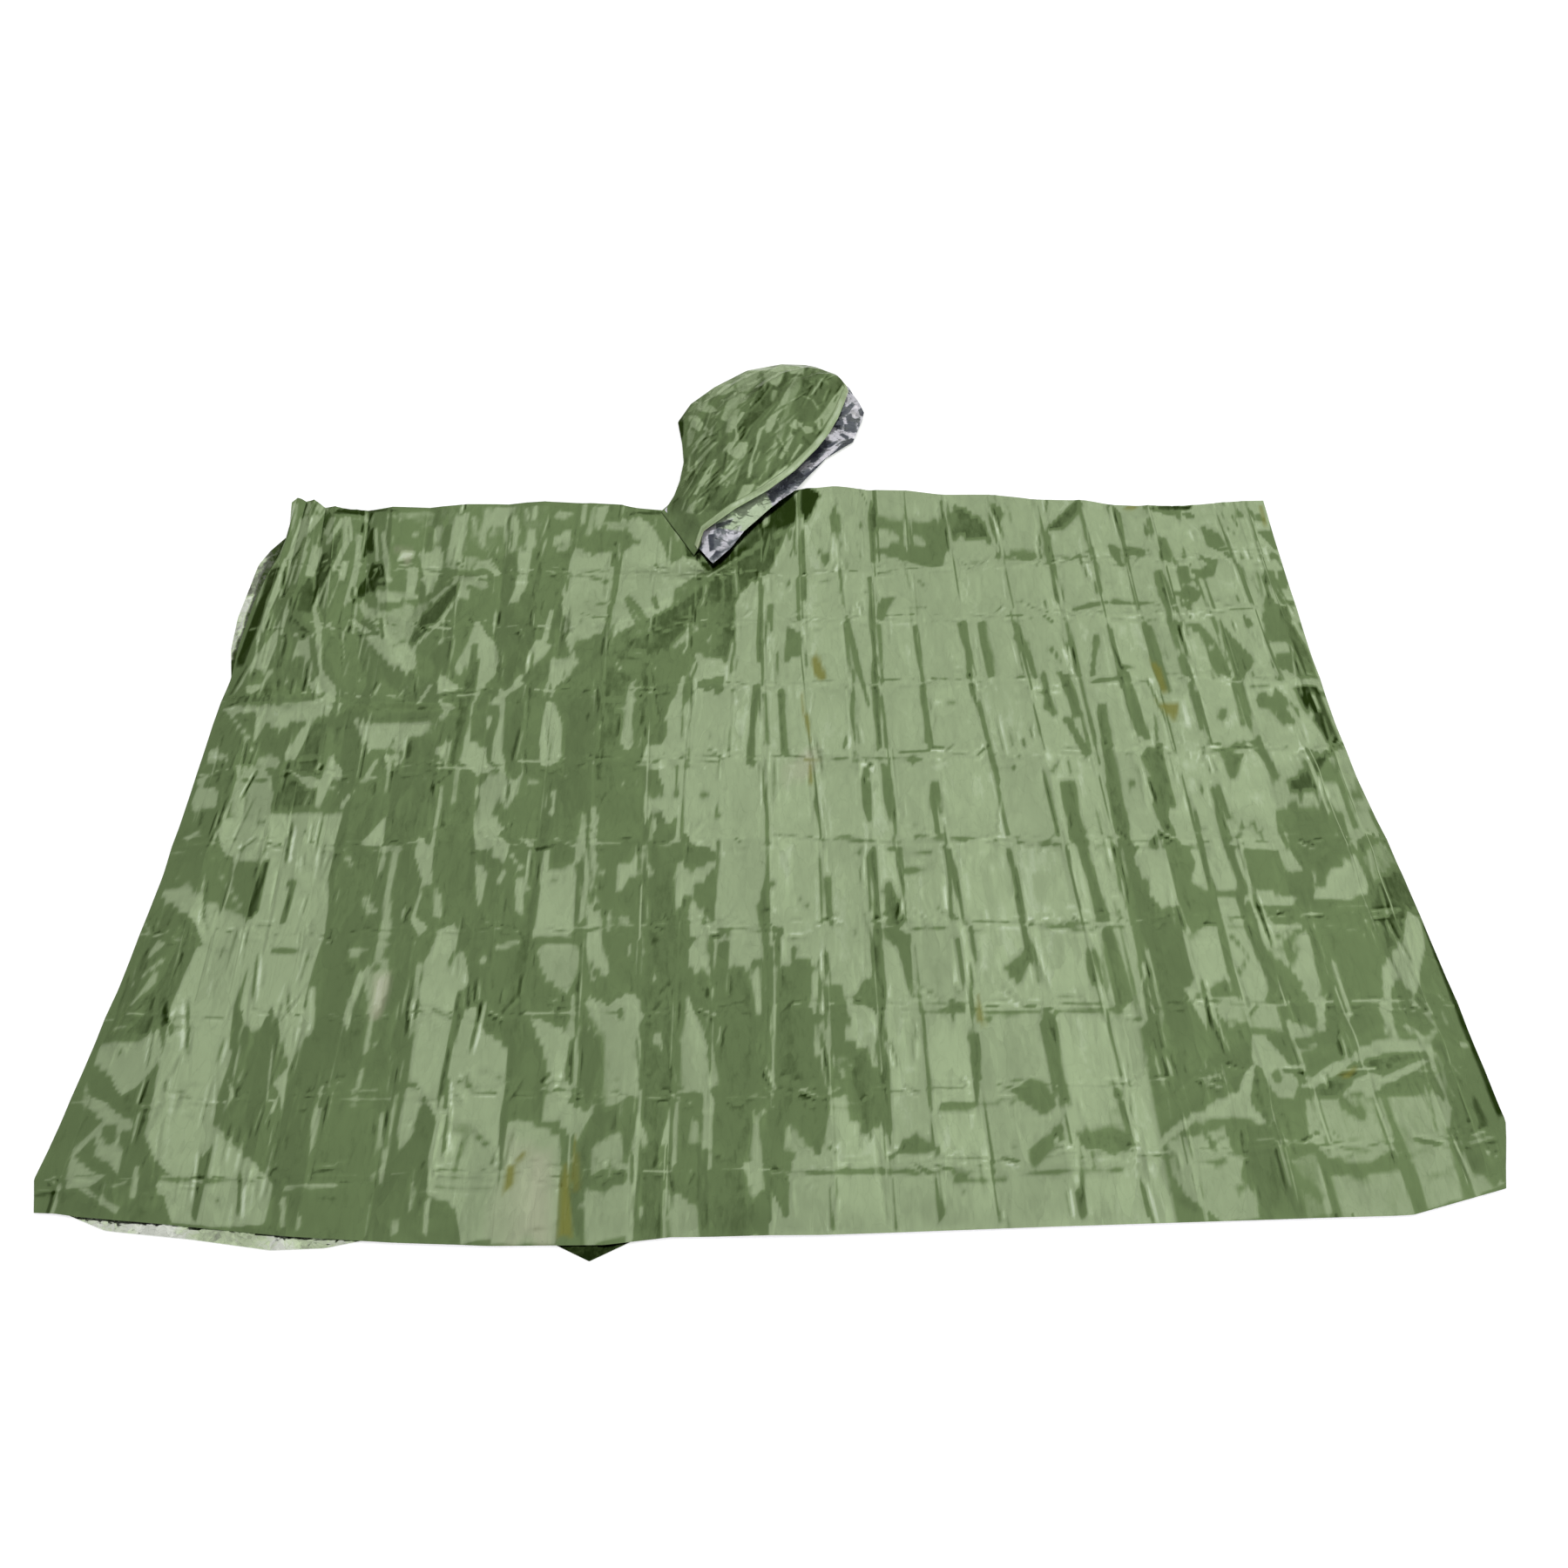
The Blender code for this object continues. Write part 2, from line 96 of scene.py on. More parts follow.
def newCanvas(left, right, low, high, pitch, seed):
    x = np.arange(left, right, pitch)
    y = np.arange(low, high, pitch)
    shape = (len(y), len(x))
    canvas = {"x": x, "y": y, "pitch": pitch}
    for layer in ("lean", "rise", "stain", "fade"):
        canvas[layer] = np.zeros(shape)
    for step, noise in enumerate(("ragged", "frayed")):
        down, across = drawing[noise]
        canvas[noise] = softNoise(shape, (down / pitch, across / pitch), seed + step)
    return canvas


def cellsOf(canvas, sizeX, sizeY, seed):
    # straight-sided cells round scattered points: each point of the canvas gets its cell's
    # number and its middle
    gridX, gridY = np.meshgrid(canvas["x"] / sizeX, canvas["y"] / sizeY)
    baseX, baseY = np.floor(gridX).astype(int), np.floor(gridY).astype(int)
    lowX, lowY = baseX.min() - 2, baseY.min() - 2
    wide = baseX.max() - lowX + 3
    scatter = np.random.default_rng(seed).random((wide * (baseY.max() - lowY + 3), 2))
    nearest = np.full(gridX.shape, np.inf)
    cell = np.zeros(gridX.shape, int)
    for stepX in (-1, 0, 1):
        for stepY in (-1, 0, 1):
            number = (baseY + stepY - lowY) * wide + baseX + stepX - lowX
            middleX = baseX + stepX + scatter[number, 0]
            middleY = baseY + stepY + scatter[number, 1]
            distance = np.hypot(gridX - middleX, gridY - middleY)
            closer = distance < nearest
            nearest = np.where(closer, distance, nearest)
            cell = np.where(closer, number, cell)
    middleX = (cell % wide + lowX + scatter[cell, 0]) * sizeX
    middleY = (cell // wide + lowY + scatter[cell, 1]) * sizeY
    return cell, middleX, middleY


def windowOf(canvas, xs, ys, reach):
    # the rows and columns of a canvas round some points, and the grid in them
    columns = slice(*np.searchsorted(canvas["x"], (min(xs) - reach, max(xs) + reach)))
    rows = slice(*np.searchsorted(canvas["y"], (min(ys) - reach, max(ys) + reach)))
    gridX, gridY = np.meshgrid(canvas["x"][columns], canvas["y"][rows])
    return (rows, columns), gridX, gridY


def besideLine(canvas, x, y, toX, toY, reach):
    # how far along and beside a line the points of the canvas round it are
    spot, gridX, gridY = windowOf(canvas, (x, toX), (y, toY), reach)
    length = max(math.hypot(toX - x, toY - y), 0.5 * mm)
    along = ((gridX - x) * (toX - x) + (gridY - y) * (toY - y)) / length
    side = ((gridY - y) * (toX - x) - (gridX - x) * (toY - y)) / length
    return spot, along, side, length


def drawFacet(canvas, layer, x, y, toX, toY, width, toWidth, value, fray=1.0, soft=1.0):
    # a flat four-sided facet with slanted ends: one side is crisp, the other and the ends fray
    widest = max(width, toWidth)
    reach = 0.5 * widest + drawing["facetReach"]
    spot, along, side, length = besideLine(canvas, x, y, toX, toY, reach)
    # a facet's own random numbers come from where it lies
    random = np.random.default_rng(int(1e6 * abs(x + 3.1 * y + 7.3 * toX)))
    slant, toSlant = random.uniform(-1.0, 1.0, 2)
    rough = np.where(side * random.choice((-1, 1)) > 0, drawing["crispSide"], 1.0) * fray
    # edges are a little softer up the sheet, where its faces are longer
    upright, level = drawing["softness"]
    slope = abs(toX - x) / length
    sideSoft = soft * math.hypot(upright * (1 - slope), level * slope) * mm
    endSoft = soft * math.hypot(upright * slope, level * (1 - slope)) * mm
    half = 0.5 * mix(width, toWidth, np.clip(along / length, 0.0, 1.0))
    easy = 1.0 + rough * min(0.12 * widest / mm, 2.5)
    inside = half - np.abs(side) + drawing["raggedBy"] * rough * canvas["ragged"][spot]
    sides = ease(inside / (easy * sideSoft) + 0.5)
    nearEnd = np.minimum(along + slant * side, length - along + toSlant * side)
    ends = ease((nearEnd + drawing["frayedBy"] * fray * canvas["frayed"][spot]) / endSoft + 0.5)
    bend = random.uniform(-drawing["bend"], drawing["bend"]) * side / np.maximum(half, 4 * mm)
    own = value + bend * (layer == "lean")
    canvas[layer][spot] = mix(canvas[layer][spot], own, sides * ends)


def drawRows(canvas, layer, rows, **look):
    # facets from a table in millimetres
    for row in rows:
        drawFacet(canvas, layer, *(value * mm for value in row[:6]), *row[6:], **look)


def drawPatches(canvas, patches):
    # flat patches between corners, their edges a little ragged
    for value, *corners in patches:
        x, y = np.reshape(corners, (-1, 2)).T * mm
        spot, gridX, gridY = windowOf(canvas, x, y, drawing["patchReach"])
        away = np.full(gridX.shape, 1.0)
        inside = np.zeros(gridX.shape, bool)
        for startX, startY, endX, endY in zip(x, y, np.roll(x, -1), np.roll(y, -1)):
            runX, runY = endX - startX, endY - startY
            along = (gridX - startX) * runX + (gridY - startY) * runY
            along = np.clip(along / (runX**2 + runY**2), 0.0, 1.0)
            offX, offY = gridX - startX - along * runX, gridY - startY - along * runY
            away = np.minimum(away, np.hypot(offX, drawing["patchUp"] * offY))
            if startY != endY:
                crossed = (gridY < startY) != (gridY < endY)
                inside ^= crossed & (gridX < startX + (gridY - startY) * runX / runY)
        depth = np.where(inside, away, -away) + drawing["patchRagged"] * canvas["ragged"][spot]
        lean = canvas["lean"][spot]
        own = value + drawing["patchKeeps"] * (lean - np.sign(lean) * 0.9)
        canvas["lean"][spot] = mix(lean, own, ease(depth / drawing["patchSoft"] + 0.5))


def drawCrease(canvas, x, y, toX, toY, width, height, contrast):
    # a small sharp ridge, or a trough if height is below 0, lit on one side and dark on the other
    reach = width + drawing["creaseReach"]
    spot, along, side, length = besideLine(canvas, x, y, toX, toY, reach)
    part = drawing["creaseFade"]
    fade = ease(part * along / length) * ease(part * (1.0 - along / length))
    hat = np.clip(1.0 - np.abs(side) / width, 0.0, 1.0) * fade
    canvas["rise"][spot] += height * hat
    turn = np.sign(toY - y) if abs(toY - y) > 0.4 * length else np.sign(toX - x)
    # the side that turns from the film round it shows most
    beside = -side * turn * np.sign(height)
    change = contrast * hat**0.5 * np.tanh(beside / drawing["creaseTurn"])
    lean = canvas["lean"][spot]
    shown = np.where(change * lean > 0.0, drawing["creaseAgain"], 1.0)
    canvas["lean"][spot] = lean + change * shown


def readCanvas(canvas, layer, x, y):
    field = canvas[layer]
    lastRow, lastColumn = (count - 1.001 for count in field.shape)  # just inside the last cell
    column = np.clip((x - canvas["x"][0]) / canvas["pitch"], 0, lastColumn)
    row = np.clip((y - canvas["y"][0]) / canvas["pitch"], 0, lastRow)
    left, low = column.astype(int), row.astype(int)
    across, up = column - left, row - low
    lowEdge = mix(field[low, left], field[low, left + 1], across)
    highEdge = mix(field[low + 1, left], field[low + 1, left + 1], across)
    return mix(lowEdge, highEdge, up)


def leanToRise(canvas, slope, reach):
    # the height whose sideways slope follows the lean, and which stays level over longer reaches
    lean = np.clip(canvas["lean"], -drawing["steepest"], drawing["steepest"])
    down = 2 * math.pi * np.fft.fftfreq(lean.shape[0], canvas["pitch"])[:, None]
    across = 2 * math.pi * np.fft.rfftfreq(lean.shape[1], canvas["pitch"])
    bend = np.fft.rfft2(-slope * lean) * -1j * across
    return np.fft.irfft2(bend / (down**2 + across**2 + 1 / reach**2), s=lean.shape)


def apparent(x, y, z):
    # where a raised point lies on the charts, which are as seen from the eye
    return x + z * x / (eye[2] - z), y + z * (y - eye[1]) / (eye[2] - z)


def makeSheet(name, points, marks, materials, flatMap=True):
    # a grid of faces through rows of points; marks are numbers that the materials read
    rows, columns = points.shape[:2]
    corner = (np.arange(rows - 1)[:, None] * columns + np.arange(columns - 1)).ravel()
    faces = np.stack((corner, corner + 1, corner + columns + 1, corner + columns), 1)
    mesh = bpy.data.meshes.new(name)
    mesh.from_pydata(points.reshape(-1, 3), [], faces)
    mesh.shade_smooth()
    for mark, values in marks.items():
        layer = mesh.attributes.new(mark, "FLOAT", "POINT")
        layer.data.foreach_set("value", values.astype(np.float32).ravel())
    if flatMap:
        shares = np.linspace(0, 1, rows), np.linspace(0, 1, columns)
        down, across = np.meshgrid(*shares, indexing="ij")
        flat = np.stack((across, down), -1).reshape(-1, 2)[faces.ravel()]
        flatLayer = mesh.uv_layers.new(name="OFBake")
        flatLayer.data.foreach_set("uv", flat.astype(np.float32).ravel())
    for material in materials:
        mesh.materials.append(material)
    piece = bpy.data.objects.new(name, mesh)
    bpy.context.scene.collection.objects.link(piece)
    return piece


def areaOf(points):
    across = points[:-1, 1:] - points[:-1, :-1]
    up = points[1:, :-1] - points[:-1, :-1]
    return np.linalg.norm(np.cross(across, up), axis=-1).sum()


def gridOf(columns, rows):
    # shares across and up a sheet, from 0 to 1
    return np.meshgrid(np.linspace(0, 1, columns + 1), np.linspace(0, 1, rows + 1))


# The film's colours, most of them painted light: deep shade, dark and lit facets, glints and the
# silver's reflections; besides them its own silver, stains and wear. Then how they are spread.
finishAndPaintedLight = {
    "darkest": (0.017, 0.034, 0.005),
    "dark": (0.133, 0.190, 0.083),
    "bright": (0.322, 0.406, 0.236),
    "pale": (0.500, 0.590, 0.420),
    "olive": (0.190, 0.200, 0.045),
    "wornAndSheen": (0.440, 0.420, 0.320),
    "mirrored": (0.470, 0.580, 0.380),  # the green side as the silver mirrors it
    "silver": (0.620, 0.612, 0.665),
    "slate": (0.150, 0.166, 0.182),
    "silverDark": (0.050, 0.055, 0.075),
    "silverPale": (0.860, 0.840, 0.880),
    "edgeTint": (0.62, 0.66, 0.56),
    "roughness": (0.14, 0.24),
    "bendScale": 26.0,  # noise that bends the crinkle's cells, and how far
    "bend": (0.034, 0.034, 0.0),
    "cellLayers": ((1.0, 1.0), (2.7, 0.5)),  # share of the facets per metre, strength
    "raggedScale": 150.0,
    "noiseDetail": 3.0,
    "noiseRoughness": 0.6,
}


def newGroup(name, inputs, outputs):
    group = bpy.data.node_groups.new(name, "ShaderNodeTree")
    for label, value in inputs:
        kind = "NodeSocketFloat"
        group.interface.new_socket(label, in_out="INPUT", socket_type=kind).default_value = value
    for label in outputs:
        group.interface.new_socket(label, in_out="OUTPUT", socket_type="NodeSocketFloat")
    return group, group.nodes.new("NodeGroupInput"), group.nodes.new("NodeGroupOutput")


def addNode(nodes, links, kind, *values, **settings):
    # a node whose first inputs are values or other nodes' outputs
    node = nodes.new("ShaderNode" + kind)
    for setting, value in settings.items():
        setattr(node, setting, value)
    for socket, value in zip(node.inputs, values):
        if isinstance(value, bpy.types.NodeSocket):
            links.new(value, socket)
        else:
            socket.default_value = value
    return node


def addMath(nodes, links, operation, *values):
    return addNode(nodes, links, "Math", *values, operation=operation).outputs[0]


def filmCrinkle():
    # crumpled film: flat facets that each tip their own way, thin creases, and a ragged grain
    group, given, result = newGroup(
        "filmCrinkle",
        [("Facets per metre", 45.0), ("Stretch", 0.35)],
        ["Height", "Tone", "Ragged"],
    )
    nodes, links = group.nodes, group.links

    def addVector(operation, *values):
        return addNode(nodes, links, "VectorMath", *values, operation=operation).outputs

    def addNoise(scale, vector):
        noise = addNode(nodes, links, "TexNoise", vector)
        noise.inputs["Scale"].default_value = scale
        noise.inputs["Detail"].default_value = finishAndPaintedLight["noiseDetail"]
        noise.inputs["Roughness"].default_value = finishAndPaintedLight["noiseRoughness"]
        return noise.outputs

    place = nodes.new("ShaderNodeTexCoord").outputs["Object"]
    squeeze = addNode(nodes, links, "CombineXYZ", 1.0, given.outputs["Stretch"], 1.0)
    stretched = addVector("MULTIPLY", place, squeeze.outputs[0])[0]
    bending = addNoise(finishAndPaintedLight["bendScale"], stretched)["Color"]
    bent = addVector("MULTIPLY_ADD", bending, finishAndPaintedLight["bend"], stretched)[0]
    heights, tones = [], []
    for share, strength in finishAndPaintedLight["cellLayers"]:
        scale = addMath(nodes, links, "MULTIPLY", given.outputs["Facets per metre"], share)
        cells = addNode(nodes, links, "TexVoronoi", bent)
        links.new(scale, cells.inputs["Scale"])
        colour = cells.outputs["Color"]
        tip = addVector("SUBTRACT", colour, (0.5, 0.5, 0.5))[0]
        away = addVector("SUBTRACT", bent, cells.outputs["Position"])[0]
        lift = addVector("DOT_PRODUCT", tip, away)["Value"]
        heights.append(addMath(nodes, links, "MULTIPLY", lift, strength))
        tones.append(addNode(nodes, links, "SeparateColor", colour).outputs[0])
    tone = addMath(nodes, links, "SUBTRACT", addMath(nodes, links, "ADD", *tones), 1.0)
    ragged = addNoise(finishAndPaintedLight["raggedScale"], stretched)["Fac"]
    links.new(tone, result.inputs["Tone"])
    links.new(addMath(nodes, links, "MULTIPLY_ADD", ragged, 2.0, -1.0), result.inputs["Ragged"])
    links.new(addMath(nodes, links, "ADD", *heights), result.inputs["Height"])
    return group


def addMark(nodes, name):
    mark = nodes.new("ShaderNodeAttribute")
    mark.attribute_type = "GEOMETRY"
    mark.attribute_name = name
    return mark.outputs["Fac"]


def addRamp(nodes, links, value, stops):
    # stops are a lean and a colour; the ramp's own range, 0 to 1, stands for -2 to 2
    share = addMath(nodes, links, "MULTIPLY_ADD", value, 0.25, 0.5)
    ramp = addNode(nodes, links, "ValToRGB", share)
    elements = ramp.color_ramp.elements
    while len(elements) < len(stops):
        elements.new(1.0)
    for element, (lean, colour) in zip(elements, stops):
        element.position = lean * 0.25 + 0.5
        element.color = (*colour, 1.0)
    return ramp.outputs["Color"]


def addBlend(nodes, links, share, first, second):
    blend = addNode(nodes, links, "Mix", data_type="RGBA")
    for label, value in (("Factor", share), ("A", first), ("B", second)):
        if isinstance(value, tuple):
            blend.inputs[label].default_value = (*value, 1.0)
        else:
            links.new(value, blend.inputs[label])
    return blend.outputs["Result"]


def filmMaterial(name, stops, inside, look, wornAndSheen="wornAndSheen", metallic=1.0):
    # look: facets per metre, their stretch up the body, how deep the crinkle is, and how
    # raggedly and by facets the tones change
    facets, stretch, crinkle, raggedness, facetTone = look
    material = bpy.data.materials.new(name)
    material.use_nodes = True
    nodes, links = material.node_tree.nodes, material.node_tree.links
    shader = nodes["Principled BSDF"]
    crumple = addNode(nodes, links, "Group", node_tree=crinkleGroup)
    crumple.inputs["Facets per metre"].default_value = facets
    crumple.inputs["Stretch"].default_value = stretch
    ragged = crumple.outputs["Ragged"]
    lean = addMath(nodes, links, "MULTIPLY_ADD", ragged, raggedness, addMark(nodes, "lean"))
    lean = addMath(nodes, links, "MULTIPLY_ADD", crumple.outputs["Tone"], facetTone, lean)
    # the lean is painted into the colour as light and shade: dark and lit facets, deep shade and
    # glints
    colour = addRamp(nodes, links, lean, stops)
    # the fade mark blends in a pale colour: worn places, painted glints and a painted sheen, and
    # on the silver a painted reflection of the green side
    colour = addBlend(nodes, links, addMark(nodes, "fade"), colour, finishAndPaintedLight[wornAndSheen])
    colour = addBlend(nodes, links, addMark(nodes, "stain"), colour, finishAndPaintedLight["olive"])
    facing = nodes.new("ShaderNodeNewGeometry").outputs["Backfacing"]
    colour = addBlend(nodes, links, facing, colour, finishAndPaintedLight[inside])
    links.new(colour, shader.inputs["Base Color"])
    shader.inputs["Metallic"].default_value = metallic
    shader.inputs["Specular Tint"].default_value = (*finishAndPaintedLight["edgeTint"], 1.0)
    smooth, rough = finishAndPaintedLight["roughness"]
    half, middle = (rough - smooth) / 2, (rough + smooth) / 2
    spread = addMath(nodes, links, "MULTIPLY_ADD", ragged, half, middle)
    links.new(spread, shader.inputs["Roughness"])
    bump = nodes.new("ShaderNodeBump")
    bump.inputs["Strength"].default_value = 1.0
    bump.inputs["Distance"].default_value = crinkle
    links.new(crumple.outputs["Height"], bump.inputs["Height"])
    links.new(bump.outputs["Normal"], shader.inputs["Normal"])
    return material


def shaded(name, factor):
    return tuple(factor * np.array(finishAndPaintedLight[name]))


# Each ramp runs from film that leans away from the light to film that catches it.
crinkleGroup = filmCrinkle()
greenStops = [
    (-1.95, finishAndPaintedLight["darkest"]),
    (-1.4, tuple(mix(np.array(finishAndPaintedLight["darkest"]), np.array(finishAndPaintedLight["dark"]), 0.45))),
    (-1.05, finishAndPaintedLight["dark"]),
    (-0.4, shaded("dark", 1.10)),
    (0.4, shaded("bright", 0.86)),
    (1.1, finishAndPaintedLight["bright"]),
    (1.9, finishAndPaintedLight["pale"]),
]
hoodStops = [
    (-1.7, finishAndPaintedLight["darkest"]),
    (-1.0, shaded("dark", 0.80)),
    (-0.3, shaded("dark", 1.05)),
    (0.5, shaded("bright", 0.88)),
    (1.2, finishAndPaintedLight["bright"]),
    (1.9, finishAndPaintedLight["pale"]),
]
silverStops = [
    (-1.5, finishAndPaintedLight["silverDark"]),
    (-0.5, finishAndPaintedLight["slate"]),
    (0.0, finishAndPaintedLight["silver"]),
    (0.9, finishAndPaintedLight["silver"]),
    (1.5, finishAndPaintedLight["silverPale"]),
]
edgeStops = [
    (-1.8, (0.010, 0.018, 0.004)),
    (-0.9, (0.045, 0.070, 0.022)),
    (-0.1, (0.170, 0.180, 0.150)),
    (0.6, (0.520, 0.620, 0.400)),
    (1.3, (0.700, 0.730, 0.650)),
]
innerStops = [(-2.0, finishAndPaintedLight["silver"]), (2.0, finishAndPaintedLight["silverPale"])]
backFilm = filmMaterial("backFilm", edgeStops, "dark", (60.0, 1.0, 0.40, 0.40, 0.50))
greenFilm = filmMaterial("greenFilm", greenStops, "silver", (45.0, 0.35, 0.14, 0.34, 0.10))
hoodFilm = filmMaterial("hoodFilm", hoodStops, "silver", (55.0, 0.45, 0.16, 0.25, 0.20))
silverFilm = filmMaterial(
    "silverFilm", silverStops, "dark", (60.0, 1.0, 0.50, 0.30, 0.50), "mirrored", metallic=0.5
)
innerFilm = filmMaterial("innerFilm", innerStops, "dark", (60.0, 1.0, 0.20, 0.30, 0.30))
print("finishes made")


# The body: its cut, and the folds that its packing left.
body = {
    "wall": 1.0 * mm,  # the solid's, below the film's own surface
    "clear": 0.3 * mm,
    "lift": 0.8 * mm,  # of the film over the solid's underside
    "slope": 0.11,  # tilt of a fully lit or fully dark facet
    "levelReach": 0.045,
    "across": 18,  # faces between two packing folds
    "up": 17,  # faces between two folds across
    "crowd": (0.05, 0.07),  # how much faces crowd towards the folds, across and up
    "relief": (0.35, 0.3),  # share of the facets' relief that is left at the hem, at the neck
    "creases": 2600,
    "shards": 800,
    "busyX": (-0.64, -0.15, 0.0, 0.35, 0.48, 0.64),  # shards are likely here, by this much
    "busy": (1.0, 1.0, 0.3, 0.25, 0.9, 1.0),
    "wideFacet": 16,  # narrower ones are drawn after the bands and shards, in millimetres
    "edgeReach": 0.035,
    "sideReach": 0.030,
    "crossWidth": 0.030,  # of a fold across
    "crossShare": 0.6,  # of its rise that a fold across adds to the packing folds
    "packedShare": 0.4,  # of the packing folds' height that is left on top of a large fold
    "meetingRounds": 12,  # in which a place across and a place up the body are made to meet
}
hemY, waistY, chestY, shoulderY = -0.53, -0.08, 0.22, 0.50
frontSides = table("y left right", [
    (-520, -640, 624), (-486, -650, 634), (-427, -645, 652), (-277, -636, 646), (-140, -632, 639),
    (0, -634, 627), (87, -636, 624), (160, -634, 624), (210, -638, 624), (300, -639, 626),
    (400, -630, 628), (430, -625, 629), (510, -638, 632),
], unit=1000)
backSides = table("y left right", [
    (-486, -643, 626), (-420, -640, 647), (-277, -631, 641), (0, -629, 622), (160, -634, 619),
    (214, -647, 620), (269, -652, 621), (369, -650, 623), (400, -641, 624), (440, -622, 625),
    (510, -632, 627),
], unit=1000)
frontReach = table("x hem shoulder", [
    (-645, -517, 500), (-622, -518, 500), (-602, -521, 489), (-570, -524, 473), (-547, -526, 479),
    (-420, -539, 490), (-329, -545, 498), (-247, -548, 498), (-149, -547, 483), (-93, -540, 490),
    (36, -538, 531), (89, -536, 530), (235, -530, 516), (407, -524, 499), (462, -522, 491),
    (526, -520, 491), (544, -519, 492), (631, -494, 504), (656, -483, 504),
], unit=1000)
backReach = table("x hem shoulder", [
    (-630, -511, 500), (-575, -533, 486), (-500, -541, 486), (-430, -551, 490), (-385, -549, 493),
    (-345, -540, 495), (-200, -541, 490), (-160, -561, 480), (-120, -540, 484), (-60, -531, 496),
    (36, -530, 527), (120, -527, 524), (235, -522, 512), (407, -516, 495), (544, -511, 488),
    (640, -484, 500),
], unit=1000)
neck = {
    "leftX": -0.143,
    "lowX": -0.088,
    "rightX": 0.020,
    "depth": 0.078,
    "flatLeft": 0.035,  # the film lies flat under the hood, this far out
    "flatRight": 0.020,
    "flatLowY": 0.385,
    "fade": 0.040,  # and its folds come back over this far, to the sides and down
    "fadeDown": 0.050,
}

# Packing folds from the left edge: where each crosses the shoulder, chest, waist and hem, and
# its rise in millimetres high up, midway and low down. The first seven gather into pleats.
packFolds = table("shoulder chest waist hem highUp midway lowDown", [
    (-0.627, -0.616, -0.618, -0.628, 8, 1, 1), (-0.616, -0.600, -0.594, -0.576, 4, 4, 3),
    (-0.603, -0.581, -0.568, -0.545, 13, 1, 3.5), (-0.590, -0.558, -0.538, -0.511, 6, 4, 1),
    (-0.575, -0.536, -0.516, -0.494, 15, 2, 3), (-0.558, -0.514, -0.498, -0.476, 7, 3.5, 1),
    (-0.536, -0.492, -0.478, -0.461, 1.5, 1.5, 3), (-0.503, -0.468, -0.457, -0.446, 6, 3.5, 0.5),
    (-0.455, -0.434, -0.414, -0.413, 1, 0.5, 4), (-0.408, -0.388, -0.366, -0.350, 4, 4, 0),
    (-0.353, -0.335, -0.322, -0.303, 0.5, 0.5, 5), (-0.306, -0.290, -0.286, -0.273, 4, 4, 1.5),
    (-0.256, -0.260, -0.253, -0.243, 0.5, 0.5, 4.5), (-0.204, -0.206, -0.199, -0.181, 4, 4.5, 0.5),
    (-0.152, -0.152, -0.143, -0.128, 0, 0.5, 5), (-0.108, -0.100, -0.102, -0.098, 0, 3, 0.5),
    (-0.064, -0.056, -0.064, -0.062, 0, 0, 4), (-0.022, -0.020, -0.012, -0.006, 0, 3.5, 0),
    (0.024, 0.026, 0.043, 0.048, 0, 0, 4), (0.070, 0.080, 0.090, 0.096, 3.5, 3.5, 0),
    (0.117, 0.116, 0.124, 0.139, 0, 0.5, 4), (0.165, 0.163, 0.173, 0.190, 3, 3.5, 0.5),
    (0.214, 0.222, 0.241, 0.262, 0, 0, 4.5), (0.274, 0.282, 0.299, 0.319, 4, 4, 0),
    (0.336, 0.341, 0.350, 0.361, 0.5, 0, 4.5), (0.391, 0.392, 0.399, 0.407, 4, 4.5, 0.5),
    (0.436, 0.436, 0.438, 0.446, 0, 0.5, 4), (0.480, 0.478, 0.478, 0.490, 4, 4, 0),
    (0.522, 0.530, 0.531, 0.543, 0.5, 0.5, 4.5), (0.570, 0.576, 0.588, 0.600, 3.5, 3.5, 1.5),
    (0.606, 0.604, 0.612, 0.620, 2.5, 6, 6),
])
crossFolds = table("left middle right rise", [
    (-0.487, -0.477, -0.446, 2.5), (-0.405, -0.400, -0.375, 1), (-0.315, -0.305, -0.300, 2.5),
    (-0.215, -0.205, -0.190, 1), (-0.100, -0.090, -0.090, 3), (0.005, 0.032, 0.045, 1),
    (0.120, 0.150, 0.160, 2.5), (0.240, 0.262, 0.285, 1.5), (0.362, 0.352, 0.395, 1),
])
packCount, crossCount = len(packFolds["hem"]), len(crossFolds["rise"])

# Large folds over the packing creases; heights in millimetres, the film falls away within
# `steep` to the left of the way a fold runs and within `easy` to its right.
largeFolds = [
    (-0.060, 0.372, -0.200, 0.238, 5, 14, 0.030, 0.100),  # from the neck
    (-0.200, 0.238, -0.335, 0.105, 14, 4, 0.035, 0.080),
    (-0.590, 0.290, -0.505, 0.140, 11, 7, 0.050, 0.035),  # below the pleats
    (-0.385, 0.315, -0.432, 0.215, 9, 6, 0.040, 0.050),  # left chest
    (-0.475, 0.245, -0.425, 0.165, 6, 6, 0.040, 0.045),
    (-0.615, 0.122, -0.505, 0.112, 7, 6, 0.040, 0.035),  # left waist
    (-0.480, 0.095, -0.365, 0.092, 6, 8, 0.035, 0.050),
    (-0.600, -0.190, -0.620, -0.335, 3, 7, 0.030, 0.035),  # left edge
    (0.555, -0.020, 0.622, 0.042, 5, 9, 0.045, 0.035),  # right edge
    (0.545, -0.160, 0.625, -0.100, 4, 9, 0.050, 0.040),
    (0.610, -0.265, 0.637, -0.190, 6, 11, 0.030, 0.050),
    (0.320, -0.458, 0.430, -0.388, 3, 10, 0.050, 0.045),  # the arc above the hem
    (0.430, -0.388, 0.560, -0.335, 10, 9, 0.050, 0.045),
    (0.560, -0.335, 0.628, -0.350, 9, 6, 0.045, 0.040),
    (0.440, -0.402, 0.600, -0.362, 4, 7, 0.030, 0.030),
]


